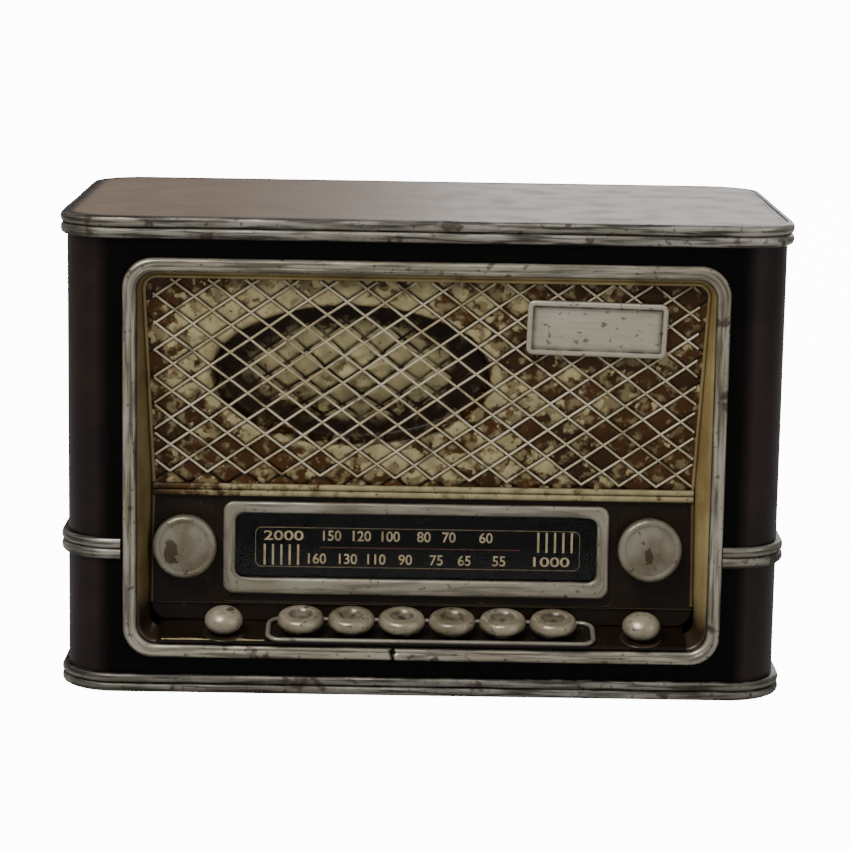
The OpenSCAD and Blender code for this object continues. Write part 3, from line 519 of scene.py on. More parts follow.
band_w = 3.2 * mm
opening = frame_size[[0, 2]] - 2 * band_w
opening_radius = 4.5 * mm
frame_t = frame_size[1]
frame_steps = 720
band_profile = np.array([
    [0, 0], [0, 0.5], [0.04, 0.72], [0.1, 0.88], [0.2, 0.98], [0.32, 1], [0.45, 0.98], [0.56, 0.92],
    [0.61, 0.87], [0.66, 0.91], [0.75, 0.92], [0.85, 0.86], [0.93, 0.72], [0.98, 0.55], [1, 0.4], [1, 0],
])
band_shade = np.array([1, 0.6, 0.15, 0, 0, 0, 0, 0.15, 0.45, 0.15, 0, 0.05, 0.25, 0.6, 0.95, 1])
frame_radius = 7 * mm
frame_outer = (frame_size[0], frame_size[2], frame_radius)
frame_inner = (*opening, opening_radius)
frame_points = loft_ring(frame_outer, frame_inner, band_profile * [1, frame_t], frame_steps)
frame_points[:, :, 2] -= (1 + ripple(frame_points, 18 * mm, 31)) * 0.05 * mm * (band_profile[:, 1] > 0)
joint_x = -6.7 * mm
joint_half = 0.45 * mm
low_strip_end = -40 * mm
frame_x = frame_points[:, :, 0]
bottom_bar = frame_points[:, :, 1] < 0
at_joint = bottom_bar & (np.abs(frame_x - joint_x) < joint_half)
low_strip = bottom_bar & (frame_x < joint_x) & (frame_x > low_strip_end) & ~at_joint
frame_points[:, :, 2] *= np.where(at_joint, 0.35, np.where(low_strip, 0.9, 1))
frame_length = 2 * (frame_size[0] + frame_size[2])
make_piece(
    "frame_band", tilted(frame_points, frame_centre), grid_faces(frame_steps, len(band_profile), True, True),
    frame_silver, stands_for=["front_frame"],
    marks={
        "groove": np.maximum(np.tile(band_shade, (frame_steps, 1)), at_joint),
        "grain": ring_grain(frame_length, band_profile * [band_w, frame_t], frame_steps),
    },
)

# ---- Reveal: the drafted wall between the frame and the fascia ----
# One tin sheet funnels in from the frame to the panels, which fold along the crossbar. It is
# painted cream, with painted shade towards its ends and on its left side, and ends in a rolled
# bead along the panels.

fold_depth = 12.3 * mm
fold = np.array([0, frame_front + fold_depth, 48 * mm])
grille_tilt = 99.1
dial_tilt = 86.8
draft = 0.22


def panel_depth(height):
    """How far behind the frame's front the panels lie at a height: they fold at the crossbar."""
    above = fold_depth - (height - fold[2]) * np.tan(np.radians(grille_tilt - 90))
    below = fold_depth - (fold[2] - height) * np.tan(np.radians(90 - dial_tilt))
    return np.where(height > fold[2], above, below)


def cream_paint():
    """Cream over brown, stained in spots, and painted dark brown where the groove mark is strong, as painted
    shade.
    """
    made, tree, surface = new_material("aged_cream", Coat_Weight=0.15, Coat_Roughness=0.3)
    clouds = patches(tree, 60, 0.3, 0.7, seed=30.0)
    colour = mix(tree, clouds, (0.46, 0.36, 0.15), (0.25, 0.17, 0.055))
    stains = patches(tree, 90, 0.56, 0.7, detail=8.0, seed=31.0)
    colour = stain(tree, colour, stains, 0.6, (0.09, 0.05, 0.018))
    colour = mix(tree, mark(tree, "groove"), colour, (0.035, 0.019, 0.008))
    coat(tree, surface, colour, spread(tree, stains, 0.38, 0.6))
    uneven(tree, surface, patches(tree, 240, 0.2, 0.8, seed=32.0), 0.3, 0.15 * mm)
    return made


aged_cream = cream_paint()
wall_steps = 640
shelf_top = 17 * mm
reveal_flat, reveal_out = outline(*opening, opening_radius, wall_steps)
reveal_height = reveal_flat[:, 1] + frame_centre[2]
shelf_low, shelf_high = corners_of("key_shelf")
shelf_half = (shelf_high[0] - shelf_low[0]) / 2
wall_kept = (reveal_height > shelf_top) | (np.abs(reveal_flat[:, 0]) > shelf_half - 0.3 * mm)
reach = np.linspace(0, 1, 13)
wall_depth = frame_t + (panel_depth(reveal_height)[:, None] - frame_t) * reach
wall_inset = draft * wall_depth - 0.75 * mm * (reach == 0)
wall_points = np.empty((wall_steps, len(reach), 3))
wall_points[:, :, 0] = reveal_flat[:, None, 0] - reveal_out[:, None, 0] * wall_inset
wall_points[:, :, 1] = frame_front + wall_depth
wall_points[:, :, 2] = reveal_height[:, None] - reveal_out[:, None, 1] * wall_inset
wall_faces = grid_faces(wall_steps, len(reach), round_rows=True)
wall_whole = wall_kept[np.array(wall_faces) // len(reach)].all(axis=1)
wall_faces = [face for face, keep in zip(wall_faces, wall_whole) if keep]
# Painted shade: the wall is darkened next to the frame, deep in the recess at the panels, and on its left
# side, which faces away from the key light. It is also darker towards the bottom.
wall_end_shade = np.exp(-((1 - reach) * 9)) * 0.9 + np.exp(-(reach * 14)) * 0.5
low_corner = np.clip((24 * mm - reveal_height) / (9 * mm), 0, 1)
shaded_side = 0.4 * (reveal_flat[:, 0] < -60 * mm)
wall_shade = np.clip(wall_end_shade[None, :] + low_corner[:, None] + shaded_side[:, None], 0, 1)
reveal = make_piece(
    "reveal_wall", wall_points, wall_faces, aged_cream, stands_for=["reveal_liner"],
    marks={"groove": wall_shade},
)
wall_t = 0.4 * mm
reveal.modifiers.new("wall", "SOLIDIFY").thickness = wall_t


def tube(path, across, up, radius, sides):
    """Points on circles of a radius round a path, in the plane of the across and up directions."""
    angle = np.linspace(0, 2 * np.pi, sides, endpoint=False)
    ring = across[:, None] * np.cos(angle)[None, :, None] + up[:, None] * np.sin(angle)[None, :, None]
    return path[:, None] + radius * ring


bead_r = 0.45 * mm
bead_sides = 10
bead_kept = np.flatnonzero(reveal_height > shelf_top + 2 * mm)
bead_order = np.roll(bead_kept, -int(np.argmax(np.diff(bead_kept) > 1)) - 1)
bead_out = reveal_out[bead_order]
bead_across = np.column_stack([bead_out[:, 0], np.zeros(len(bead_order)), bead_out[:, 1]])
bead_path = wall_points[bead_order, -1] - 0.35 * mm * (bead_across + np.array([0, 0.6, 0]))
bead_up = np.tile([0.0, 1.0, 0.0], (len(bead_order), 1))
bead_points = tube(bead_path, bead_across, bead_up, bead_r, bead_sides)
# Painted shade along the crease where the bead meets the panels: stronger below the fold, none along the top.
bead_shade = 0.25 + 0.6 * (bead_path[:, 2] < fold[2])
bead_shade *= np.clip((96 * mm - bead_path[:, 2]) / (3 * mm), 0, 1)
make_piece(
    "panel_bead", bead_points, stack_faces(len(bead_order), bead_sides), aged_cream,
    marks={"groove": np.repeat(bead_shade, bead_sides)},
)

# ---- Speaker grille: sheet, wires and name plate ----
# A brown tin sheet with an oval pressed into it for the loudspeaker, dabbed with cream. A
# diamond lattice of beige wires lies on it, and a silver name plate is glued on the wires.

grille_h = 50.1 * mm
hidden_h = 5 * mm
oval_place = np.array([-17.2, 26.8]) * mm
oval_size = np.array([32.2, 16.8]) * mm
grille_mid_w = 128.34 * mm
grille_flare = 0.0274


def blob(x, y, place, size):
    """A soft round spot: exp(-(dx^2 + dy^2)) with x and y measured in sizes from place."""
    across = (x - place[0] * mm) / (size[0] * mm)
    up = (y - place[1] * mm) / (size[1] * mm)
    return np.exp(-(across**2 + up**2))


lattice_start = np.array([3.0, 27.9]) * mm
lattice_column = np.array([8.77, -0.17]) * mm
lattice_row = np.array([0.26, 6.58]) * mm
lattice_ways = np.array([lattice_column + lattice_row, lattice_column - lattice_row]) / 2
lattice_gap = 5.27 * mm
wire_half_w = 0.31 * mm
wire_h = 0.55 * mm
pad_h = 0.34 * mm
pad_shoulder = 0.6 * mm


def sheet_marks(x, y, part):
    """Where the grille's cream and the oval recess's painted shade lie; part is the way out from the oval's
    middle.
    """
    cream = 1.0 * blob(x, y, (-46, 39), (17, 11)) + 0.75 * blob(x, y, (0, 6), (32, 5))
    cream += 1.3 * blob(x, y, (-15, 28), (20, 10)) + 0.3 * blob(x, y, (-57, 20), (9, 14))
    cream += 0.4 * blob(x, y, (34, 23), (24, 9)) + 0.6 * blob(x, y, (-12, 47), (36, 6))
    cream -= blob(x, y, (-60, 50), (13, 5)) + np.exp(-(((np.abs(x) - 65 * mm) / (3.5 * mm)) ** 2))
    # The cream band just outside the oval's edge is a painted highlight on its rolled rim.
    cream = np.clip(cream, 0, 1) + 0.7 * np.exp(-(((part - 1.06) / 0.05) ** 2))
    # The ring is painted shade in the oval's recess.
    ring = np.exp(-(((part - 0.86) / 0.15) ** 4))
    return np.clip(cream * (1 - ring), 0, 1), 0.92 * ring


def grille_sheet():
    """Rings from the oval's middle to the sheet's edge, with a pad pressed up between the wires.

    The oval drops by a rolled wall round a dome: z = -4.4 + 3.9 cos^2(90 min(part / 0.75, 1)) in mm,
    where part is the way out to the oval's edge. A pad is pad_h (1 - exp(-(d / pad_shoulder)^2))
    high, where d is the distance to the nearest wire.
    """
    count = 600
    edge = outline(grille_mid_w, grille_h + hidden_h, 4.2 * mm, count)[0]
    edge[:, 1] += (grille_h - hidden_h) / 2
    edge[:, 0] *= 1 + (edge[:, 1] / grille_h - 0.5) * grille_flare
    from_oval = (edge - oval_place) / oval_size
    from_oval /= np.linalg.norm(from_oval, axis=1)[:, None]
    rolled_part = np.array([0.9, 0.94, 0.965, 0.98, 0.99, 1.0, 1.012, 1.03, 1.05])
    rolled_depth = np.array([-4.4, -4.3, -3.9, -3.0, -1.8, -0.8, -0.3, -0.06, 0])
    part = np.concatenate([np.linspace(0.02, 0.88, 34), rolled_part])
    dome = 3.9 * np.cos(np.pi / 2 * np.clip(part / 0.75, 0, 1)) ** 2
    inner = oval_place + from_oval[None] * oval_size * part[:, None, None]
    out = np.linspace(0, 1, 78)[1:, None, None]
    outer = inner[-1][None] * (1 - out) + edge[None] * out
    points = np.zeros((len(part) + len(out), count, 3))
    points[:, :, :2] = np.concatenate([inner, outer])
    points[: len(part), :, 2] = ((np.interp(part, rolled_part, rolled_depth) + dome) * mm)[:, None]
    cells = (points[:, :, :2] - lattice_start) @ np.linalg.inv(lattice_ways)
    to_wire = np.abs(cells - np.round(cells)).min(axis=-1) * lattice_gap
    all_parts = np.linalg.norm((points[:, :, :2] - oval_place) / oval_size, axis=-1)
    cream, recess_shade = sheet_marks(points[:, :, 0], points[:, :, 1], all_parts)
    pads = pad_h * (1 - np.exp(-((to_wire / pad_shoulder) ** 2))) * (1 - recess_shade)
    points[:, :, 2] += pads - (1 + ripple(points, 16 * mm, 41)) * 0.05 * mm
    marks = {"cream": cream, "groove": recess_shade, "cell_a": cells[:, :, 0], "cell_b": cells[:, :, 1]}
    faces = grid_faces(len(points), count, round_columns=True) + [list(range(count))]
    make_piece(
        "grille_sheet", tilted(points, fold, grille_tilt), faces, grille_brown,
        stands_for=["grille_panel", "speaker_pan"], marks=marks,
    )


def dabbed_paint(name, under, dab, spread_low, seed, padded=False):
    """Brown paint with dabs of another colour where the mark cream is strong, and soil and painted shade on
    the mark groove.

    On a padded sheet each pad takes the dabs differently, and painted shadow lies along its lower edges.
    """
    made, tree, surface = new_material(name, Specular_IOR_Level=0.22)
    base = mix(tree, patches(tree, 70, 0.35, 0.7, seed=seed), under, tuple(0.45 * c for c in under))
    limit = spread(tree, mark(tree, "cream"), spread_low, 0.34)
    if padded:
        a, b = mark(tree, "cell_a"), mark(tree, "cell_b")
        whole_a = sums(tree, "FLOOR", a, clamp=False)
        whole_b = sums(tree, "FLOOR", b, clamp=False)
        pad = node(tree, "ShaderNodeCombineXYZ", {0: whole_a, 1: whole_b}).outputs[0]
        chance = node(tree, "ShaderNodeTexWhiteNoise", {"Vector": pad}, noise_dimensions="3D")
        shift = spread(tree, chance.outputs["Value"], -0.07, 0.07)
        limit = sums(tree, "ADD", limit, shift, clamp=False)
    upper = sums(tree, "ADD", limit, 0.07, clamp=False)
    tan = tuple(0.42 * d + 0.45 * u for d, u in zip(dab, under))
    thin_limit = sums(tree, "ADD", limit, -0.09, clamp=False)
    thin = patches(tree, 420, thin_limit, upper, detail=9.0, seed=seed + 5)
    base = stain(tree, base, thin, 0.8, tan)
    dabs = patches(tree, 330, limit, upper, detail=9.0, seed=seed + 1)
    shades = mix(tree, patches(tree, 300, 0.3, 0.7, seed=seed + 2), dab, tuple(0.6 * c for c in dab))
    colour = stain(tree, base, dabs, 0.88, shades)
    pits = patches(tree, 900, 0.63, 0.69, detail=2.0, seed=seed + 6)
    colour = stain(tree, colour, pits, 0.7, tuple(0.5 * u for u in under))
    ragged = patches(tree, 210, 0.3, 0.6, seed=seed + 3)
    if padded:
        # Painted shadow: near black along the lower edges of each pad, under the wires.
        on_left = fade(tree, sums(tree, "FRACT", a, clamp=False), 0.19, 0.07)
        on_right = fade(tree, sums(tree, "FRACT", b, clamp=False), 0.81, 0.93)
        edges = sums(tree, "MAXIMUM", on_left, on_right)
        colour = stain(tree, colour, edges, spread(tree, ragged, 0.55, 1.0), (0.007, 0.0035, 0.001))
    # Soil and painted shade on the groove mark, such as the shade in the grille's oval recess.
    colour = stain(tree, colour, mark(tree, "groove"), spread(tree, ragged, 0.75, 1.0), (0.018, 0.008, 0.003))
    coat(tree, surface, colour, spread(tree, dabs, 0.38, 0.55))
    uneven(tree, surface, dabs, 0.5, 0.12 * mm)
    return made


grille_brown = dabbed_paint(
    "dabbed_grille", (0.075, 0.030, 0.005), (0.56, 0.47, 0.24), 0.6, 40.0, padded=True
)
grille_sheet()


def wire_paint():
    """Beige paint on the wires, worn off in spots, with painted shade along their feet."""
    made, tree, surface = new_material("beige_wire_paint", Metallic=0.1)
    colour = mix(tree, patches(tree, 90, 0.35, 0.68, seed=50.0), (0.66, 0.57, 0.40), (0.40, 0.32, 0.17))
    bare = patches(tree, 170, 0.58, 0.66, detail=8.0, seed=51.0)
    colour = stain(tree, colour, bare, 0.7, (0.09, 0.05, 0.025))
    # Painted shade along the feet of the wires, where they meet the sheet.
    colour = mix(tree, mark(tree, "groove"), colour, (0.03, 0.02, 0.01))
    coat(tree, surface, colour, spread(tree, bare, 0.36, 0.55))
    uneven(tree, surface, patches(tree, 500, 0.3, 0.7, seed=52.0), 0.4, 0.08 * mm)
    return made


def lattice_wires():
    """Two families of half-round wires along the lattice, cut at the edges of the sheet.

    A wire's section is (wire_half_w cos a, wire_h sin a). It runs between the first and the last
    place that lies inside every edge, an edge being a direction and the distance in mm that it
    stands out.
    """
    edges = np.array([
        [1, 0, 62.8], [-1, 0, 62.8], [0, 1, 49.7], [-0.02, -1, -1.62],
        [0.707, 0.707, 78.5], [-0.707, 0.707, 78.5],
    ])
    angle = np.linspace(0, np.pi, 9)
    along = np.linspace(0, 1, 36)
    faces_of_one = stack_faces(len(along), len(angle))
    points, faces, shades = [], [], []
    for family in (0, 1):
        way = lattice_ways[family] / np.linalg.norm(lattice_ways[family])
        side = np.array([-way[1], way[0]])
        for number in range(-22, 23):
            start = lattice_start + number * lattice_ways[1 - family]
            room_left = edges[:, 2] * mm - edges[:, :2] @ start
            speed = edges[:, :2] @ way
            first = (room_left / speed)[speed < 0].max()
            last = (room_left / speed)[speed > 0].min()
            if last - first < 1.5 * mm:
                continue
            line = start + (first + (last - first) * along)[:, None] * way
            own_place = np.column_stack([line, np.full(len(along), number * 5 * mm)])
            waver = ripple(own_place, 15 * mm, 60 + family) * 0.1 * mm
            line = line + waver[:, None] * side
            wire = np.empty((len(along), len(angle), 3))
            wire[:, :, :2] = line[:, None] + (wire_half_w * np.cos(angle))[None, :, None] * side
            wire[:, :, 2] = wire_h * np.sin(angle) + 0.1 * mm * family
            first_point = len(points) * len(along) * len(angle)
            faces += [[corner + first_point for corner in face] for face in faces_of_one]
            points.append(wire)
            shades.append(np.tile((1 - np.sin(angle)) ** 2, (len(along), 1)))
    make_piece(
        "grille_wires", tilted(np.array(points), fold, grille_tilt), faces, wire_paint(),
        stands_for=["grille_mesh"], marks={"groove": np.array(shades)},
    )


lattice_wires()

plate_silver = silver_paint(
    "dented_plate_silver", (0.67, 0.61, 0.49), (0.56, 0.50, 0.38), 0.72, 70.0, streaky=0.12
)
plate_steps = 260
plate_place = np.array([39.3, 39.4, 0.7]) * mm
plate_insets = np.array([0, 0, 0.12, 0.45, 0.9, 1.15, 1.3, 1.5, 2.4, 3.6, 5, 6.3]) * mm
plate_levels = np.array([0, 0.85, 1.1, 1.2, 1.2, 1.12, 0.95, 0.9, 0.9, 0.92, 0.93, 0.93]) * mm
plate_w = 32.3 * mm
plate_h = 13 * mm
plate_radius = 1.6 * mm
plate_points = inset_stack(plate_w, plate_h, plate_radius, plate_insets, plate_levels, plate_steps)
plate_points[:, :, 2] -= (1 + ripple(plate_points, 6 * mm, 71)) * 0.04 * mm * (plate_levels[:, None] > 0)
plate_shade = np.array([0.8, 0.3, 0, 0, 0, 0.3, 0.8, 0.6, 0.1, 0, 0, 0])[:, None] * np.ones((1, plate_steps))
plate_turn = np.radians(-1.2)
plate_axes = np.array([[np.cos(plate_turn), np.sin(plate_turn)], [-np.sin(plate_turn), np.cos(plate_turn)]])
plate_points[:, :, :2] = plate_points[:, :, :2] @ plate_axes
plate_points += plate_place
make_piece(
    "name_plate_blank", tilted(plate_points, fold, grille_tilt), stack_faces(len(plate_insets), plate_steps),
    plate_silver, stands_for=["name_plate"],
    marks={"groove": plate_shade, "grain": plate_points * [0.1, 1, 1]},
)

# ---- Crossbar ----
# A strip of tin with two rolled beads covers the fold between the grille and the dial. It is
# painted pale gold, but its left end was left almost bare and has gone brown.

gold = dabbed_paint("pale_gold_bar", (0.09, 0.045, 0.01), (0.46, 0.39, 0.2), 0.62, 80.0)
bar_proud = 1.3 * mm
bar_h = 3 * mm
bar_profile, bar_shade = double_bead(bar_proud, bar_h, 0.5)
bar_half = 63.3 * mm
bar_steps = 220
bar_x = np.linspace(-bar_half, bar_half, bar_steps)
bar_points = np.empty((bar_steps, len(bar_profile), 3))
bar_points[:, :, 0] = bar_x[:, None]
bar_points[:, :, 1] = bar_profile[None, :, 1] - bar_h - 0.1 * mm
bar_points[:, :, 2] = bar_profile[None, :, 0]
bar_points[:, :, 2] *= 1 - (1 + ripple(bar_points, 9 * mm, 81)) * 0.03
bar_cream = np.clip((bar_x + 58 * mm) / (18 * mm), 0.05, 0.92)[:, None] * np.ones((1, len(bar_profile)))
make_piece(
    "gold_crossbar", tilted(bar_points, fold, dial_tilt), stack_faces(bar_steps, len(bar_profile)), gold,
    stands_for=["crossbar"],
    marks={"cream": bar_cream, "groove": np.tile(bar_shade, (bar_steps, 1))},
)

# ---- Dial: panel, bezel, printed scale and glass ----
# A dark brown sheet holds a silver bezel with a glass pane. Behind the pane lies a gloss black
# card with a printed frame, two rows of numbers, five bars at each end and a dull red line.


def dark_paint():
    """Near-black brown with clouds and a few pale scratches."""
    made, tree, surface = new_material("fascia_brown", Specular_IOR_Level=0.25)
    clouds = patches(tree, 50, 0.3, 0.7, seed=90.0)
    colour = mix(tree, clouds, (0.006, 0.003, 0.001), (0.016, 0.008, 0.003))
    scratches = patches(tree, 600, 0.68, 0.72, detail=2.0, seed=91.0)
    colour = stain(tree, colour, scratches, 0.5, (0.07, 0.045, 0.02))
    coat(tree, surface, colour, spread(tree, clouds, 0.34, 0.5))
    uneven(tree, surface, patches(tree, 180, 0.2, 0.8, seed=92.0), 0.3, 0.12 * mm)
    return made


fascia_brown = dark_paint()
for part_name in ("dial_panel", "key_shelf", "knob_bushes"):
    paint_node(part_name, fascia_brown)

dial_place = np.array([-1.5, -15.3, 0]) * mm
window_shift = np.array([0, 0.6]) * mm
bezel_silver = silver_paint(
    "spotted_bezel_silver", (0.42, 0.39, 0.32), (0.29, 0.255, 0.17), 0.66, 100.0, streaky=0.5
)
bezel_outer = (90.6 * mm, 22 * mm, 2.4 * mm)
bezel_inner = (84.8 * mm, 15.2 * mm, 2.1 * mm)
bezel_steps = 520
bezel_profile = np.array([
    [0, 0], [0, 0.7], [0.03, 1.0], [0.09, 1.22], [0.2, 1.35], [0.4, 1.4], [0.65, 1.38], [0.82, 1.3],
    [0.93, 1.12], [0.98, 0.85], [1, 0.5], [1, -0.18],
])
bezel_shade = np.array([1, 0.5, 0.15, 0, 0, 0, 0, 0, 0.1, 0.4, 0.9, 1])
bezel_points = loft_ring(bezel_outer, bezel_inner, bezel_profile * [1, mm], bezel_steps, window_shift)
bezel_points[:, :, 2] -= (1 + ripple(bezel_points, 10 * mm, 101)) * 0.03 * mm * (bezel_profile[:, 1] > 0.2)
make_piece(
    "dial_bezel_ring", tilted(bezel_points + dial_place, fold, dial_tilt),
    grid_faces(bezel_steps, len(bezel_profile), True, True), bezel_silver,
    stands_for=["dial_bezel"],
    marks={
        "groove": np.tile(bezel_shade, (bezel_steps, 1)),
        "grain": ring_grain(2 * (bezel_outer[0] + bezel_outer[1]), bezel_profile * [3 * mm, mm], bezel_steps),
    },
)
line_profile = np.array([[0, 0], [0.3, 0.12], [0.7, 0.12], [1, 0]])
line_outer = (95 * mm, 26.4 * mm, 3.4 * mm)
line_inner = (94.3 * mm, 25.7 * mm, 3.1 * mm)
line_steps = 420
line_points = loft_ring(line_outer, line_inner, line_profile * [1, mm], line_steps)
make_piece(
    "dial_line", tilted(line_points + dial_place, fold, dial_tilt),
    grid_faces(line_steps, len(line_profile), True, True), fascia_brown,
)

black_card, card_tree, card_surface = new_material("black_scale_card", Specular_IOR_Level=0.1)
card_spots = patches(card_tree, 80, 0.4, 0.75, seed=110.0)
card_colour = mix(card_tree, card_spots, (0.002, 0.002, 0.002), (0.005, 0.004, 0.004))
coat(card_tree, card_surface, card_colour, spread(card_tree, card_spots, 0.25, 0.4))
paint_node("dial_scale", black_card)

glass, glass_tree, glass_surface = new_material(
    "dial_glass", Transmission_Weight=1.0, IOR=1.25, Roughness=0.0
)
smears = patches(glass_tree, 60, 0.45, 0.8, seed=111.0)
glass_tint = mix(glass_tree, smears, (0.98, 0.98, 0.97), (0.93, 0.93, 0.90))
glass_tree.links.new(glass_tint, glass_surface.inputs["Base Color"])
paint_node("dial_glass", glass)


def print_ink(name, bright, dull):
    """Printing ink, rubbed duller in fine spots."""
    made, tree, surface = new_material(name)
    rubbed = patches(tree, 600, 0.4, 0.7, seed=112.0)
    coat(tree, surface, mix(tree, rubbed, bright, dull), spread(tree, rubbed, 0.45, 0.65))
    return made


def flat_number(text, height, squeeze):
    """The outlines of a number as flat mesh points centred on zero, and its faces."""
    curve = bpy.data.curves.new("number", "FONT")
    curve.body = text
    curve.offset = 0.012
    holder = bpy.data.objects.new("number", curve)
    mesh = bpy.data.meshes.new_from_object(holder)
    points = np.empty((len(mesh.vertices), 3))
    mesh.vertices.foreach_get("co", points.ravel())
    faces = [list(face.vertices) for face in mesh.polygons]
    bpy.data.objects.remove(holder)
    bpy.data.curves.remove(curve)
    bpy.data.meshes.remove(mesh)
    points = points[:, :2] - (points[:, :2].min(axis=0) + points[:, :2].max(axis=0)) / 2
    scale = height / np.ptp(points[:, 1])
    return points * [scale * squeeze, scale], faces


def bar(left, right, low_y, high_y):
    """A flat rectangle's points and face."""
    return np.array([[left, low_y], [right, low_y], [right, high_y], [left, high_y]]) * mm, [[0, 1, 2, 3]]


def printed(name, shapes, finish):
    """Joins flat shapes into one thin printed layer on the card."""
    points, faces = [], []
    for shape_points, shape_faces in shapes:
        first = sum(len(part) for part in points)
        points.append(shape_points)
        faces += [[corner + first for corner in face] for face in shape_faces]
    flat = np.concatenate(points)
    layer = np.column_stack([flat, np.full(len(flat), print_level)])
    make_piece(name, tilted(layer, fold, dial_tilt), faces, finish)


print_level = -0.78 * mm
number_h = 2.45 * mm
end_number_h = 2.3 * mm
bar_pitch = 1.97
bar_w = 0.5
upper_row = {"150": -21.3, "120": -14.3, "100": -7.5, "80": 0.3, "70": 6.2, "60": 14.9}
lower_row = {"160": -24.8, "130": -17.5, "110": -10.8, "90": -4.0, "75": 3.3, "65": 9.9, "55": 18.05}
cream_shapes = []
for row_y, row_numbers in ((-12.4, upper_row), (-17.9, lower_row)):
    for text, x in row_numbers.items():
        flat_points, flat_faces = flat_number(text, number_h, 0.98)
        cream_shapes.append((flat_points + np.array([x, row_y]) * mm, flat_faces))
for end_text, end_x, end_y in (("2000", -32.7, -12.5), ("1000", 30.4, -17.9)):
    flat_points, flat_faces = flat_number(end_text, end_number_h, 1.5)
    cream_shapes.append((flat_points + np.array([end_x, end_y]) * mm, flat_faces))
for bar_left, bar_low, bar_high in ((-37.4, -19.5, -14.6), (27.0, -15.7, -10.9)):
    for left_edge in bar_left + bar_pitch * np.arange(5):
        cream_shapes.append(bar(left_edge, left_edge + bar_w, bar_low, bar_high))
cream_ink = print_ink("cream_scale_ink", (0.62, 0.5, 0.29), (0.42, 0.33, 0.17))
printed("scale_numbers", cream_shapes, cream_ink)
red_ink = print_ink("dull_red_ink", (0.14, 0.025, 0.015), (0.07, 0.015, 0.01))
printed("scale_red_line", [bar(-24, 23, -15.35, -15.1)], red_ink)
faded_ink = print_ink("faded_scale_ink", (0.26, 0.2, 0.1), (0.14, 0.1, 0.05))
scale_outer = (76.5 * mm, 9.5 * mm, 1.5 * mm)
scale_inner = (76.1 * mm, 9.1 * mm, 1.3 * mm)
scale_steps = 300
scale_frame = loft_ring(scale_outer, scale_inner, np.array([[0, 0.0], [1, 0]]), scale_steps)
scale_frame += np.array([-1.15 * mm, -15.25 * mm, print_level])
make_piece(
    "scale_outline", tilted(scale_frame, fold, dial_tilt), grid_faces(scale_steps, 2, round_rows=True),
    faded_ink,
)

# ---- Tuning knobs ----
# Two turned, domed discs with a rounded rim stand beside the dial on their shafts. The silver
# paint is rubbed brown left of the middle.


def turned(profile, count, unround, seed):
    """Turns a profile of (radius, height) pairs in mm about Z; unround is how far a ripple swells it."""
    angle = np.linspace(0, 2 * np.pi, count, endpoint=False)
    ring = np.stack([np.cos(angle), np.sin(angle), np.zeros(count)], axis=-1)
    profile = np.asarray(profile) * mm
    points = profile[:, None, 0, None] * ring + profile[:, None, 1, None] * np.array([0, 0, 1.0])
    return points * (1 + unround * ripple(points, 6 * mm, seed)[:, :, None])


def turned_piece(name, profile, shade, place, origin, tilt, finish, body, stands_for, seed, worn=(0, 0, 0)):
    """Makes a lathe shape at place on a tilted plane; worn is a rubbed spot's x, y and strength."""
    count = 72
    points = turned(profile, count, 0.006, seed)
    spot = worn[2] * blob(points[:, :, 0], points[:, :, 1], worn[:2], (2.2, 3.6)) * (points[:, :, 2] > 2 * mm)
    marks = {"groove": np.clip(np.asarray(shade)[:, None] * np.ones((1, count)), 0, 1), "worn": spot}
    faces = grid_faces(len(profile), count, round_columns=True)
    placed = tilted(points + np.asarray(place) * mm, origin, tilt)
    make_piece(name, placed, faces, finish, body=body, stands_for=stands_for, marks=marks)


def knob_silver(name, bright, dull, rubbed, seed):
    """Silver with a rubbed spot where the mark worn says, fine dark specks, and soil and painted shade in
    hollows.
    """
    made, tree, surface = new_material(name, Metallic=0.4)
    colour = mix(tree, patches(tree, 120, 0.35, 0.68, seed=seed), bright, dull)
    limit = spread(tree, mark(tree, "worn"), 0.72, 0.33)
    upper = sums(tree, "ADD", limit, 0.06, clamp=False)
    worn = patches(tree, 260, limit, upper, detail=8.0, seed=seed + 1)
    colour = stain(tree, colour, worn, 0.85, rubbed)
    specks = patches(tree, 900, 0.62, 0.68, detail=2.0, seed=seed + 2)
    colour = stain(tree, colour, specks, 0.7, (0.03, 0.02, 0.012))
    ragged = spread(tree, patches(tree, 500, 0.3, 0.65, seed=seed + 3), 0.5, 1.2)
    # Soil and painted shade: the groove mark darkens dishes, grooves and the lower sides of knobs, caps and
    # balls.
    colour = stain(tree, colour, mark(tree, "groove"), ragged, (0.015, 0.01, 0.008))
    coat(tree, surface, colour, spread(tree, worn, 0.34, 0.6))
    uneven(tree, surface, patches(tree, 420, 0.25, 0.75, detail=5.0, seed=seed + 4), 0.5, 0.12 * mm)
    return made


knob_finish = knob_silver(
    "rubbed_knob_silver", (0.30, 0.27, 0.21), (0.17, 0.14, 0.08), (0.05, 0.028, 0.012), 120.0
)
knob_profile = [
    (0, -14), (2, -14), (2, 0.8), (6.7, 0.8), (7.3, 1.0), (7.5, 1.5), (7.5, 2.4), (7.5, 3.3), (7.42, 3.72),
    (7.2, 4.1), (6.85, 4.36), (6.45, 4.48), (6.15, 4.46), (6.0, 4.38), (5.85, 4.33), (5.6, 4.37), (5.0, 4.52),
    (4.2, 4.74), (3.3, 4.98), (2.3, 5.2), (1.2, 5.36), (0, 5.42),
]
knob_shade = [1, 1, 1, 1, 1, 0.9, 0.6, 0.35, 0.15, 0, 0, 0, 0, 0.15, 0.25, 0.1, 0, 0, 0, 0, 0, 0]
knob_middle = (-1.2, -14.5)
knob_reach = 54.5
left_knob_sag = 0.4
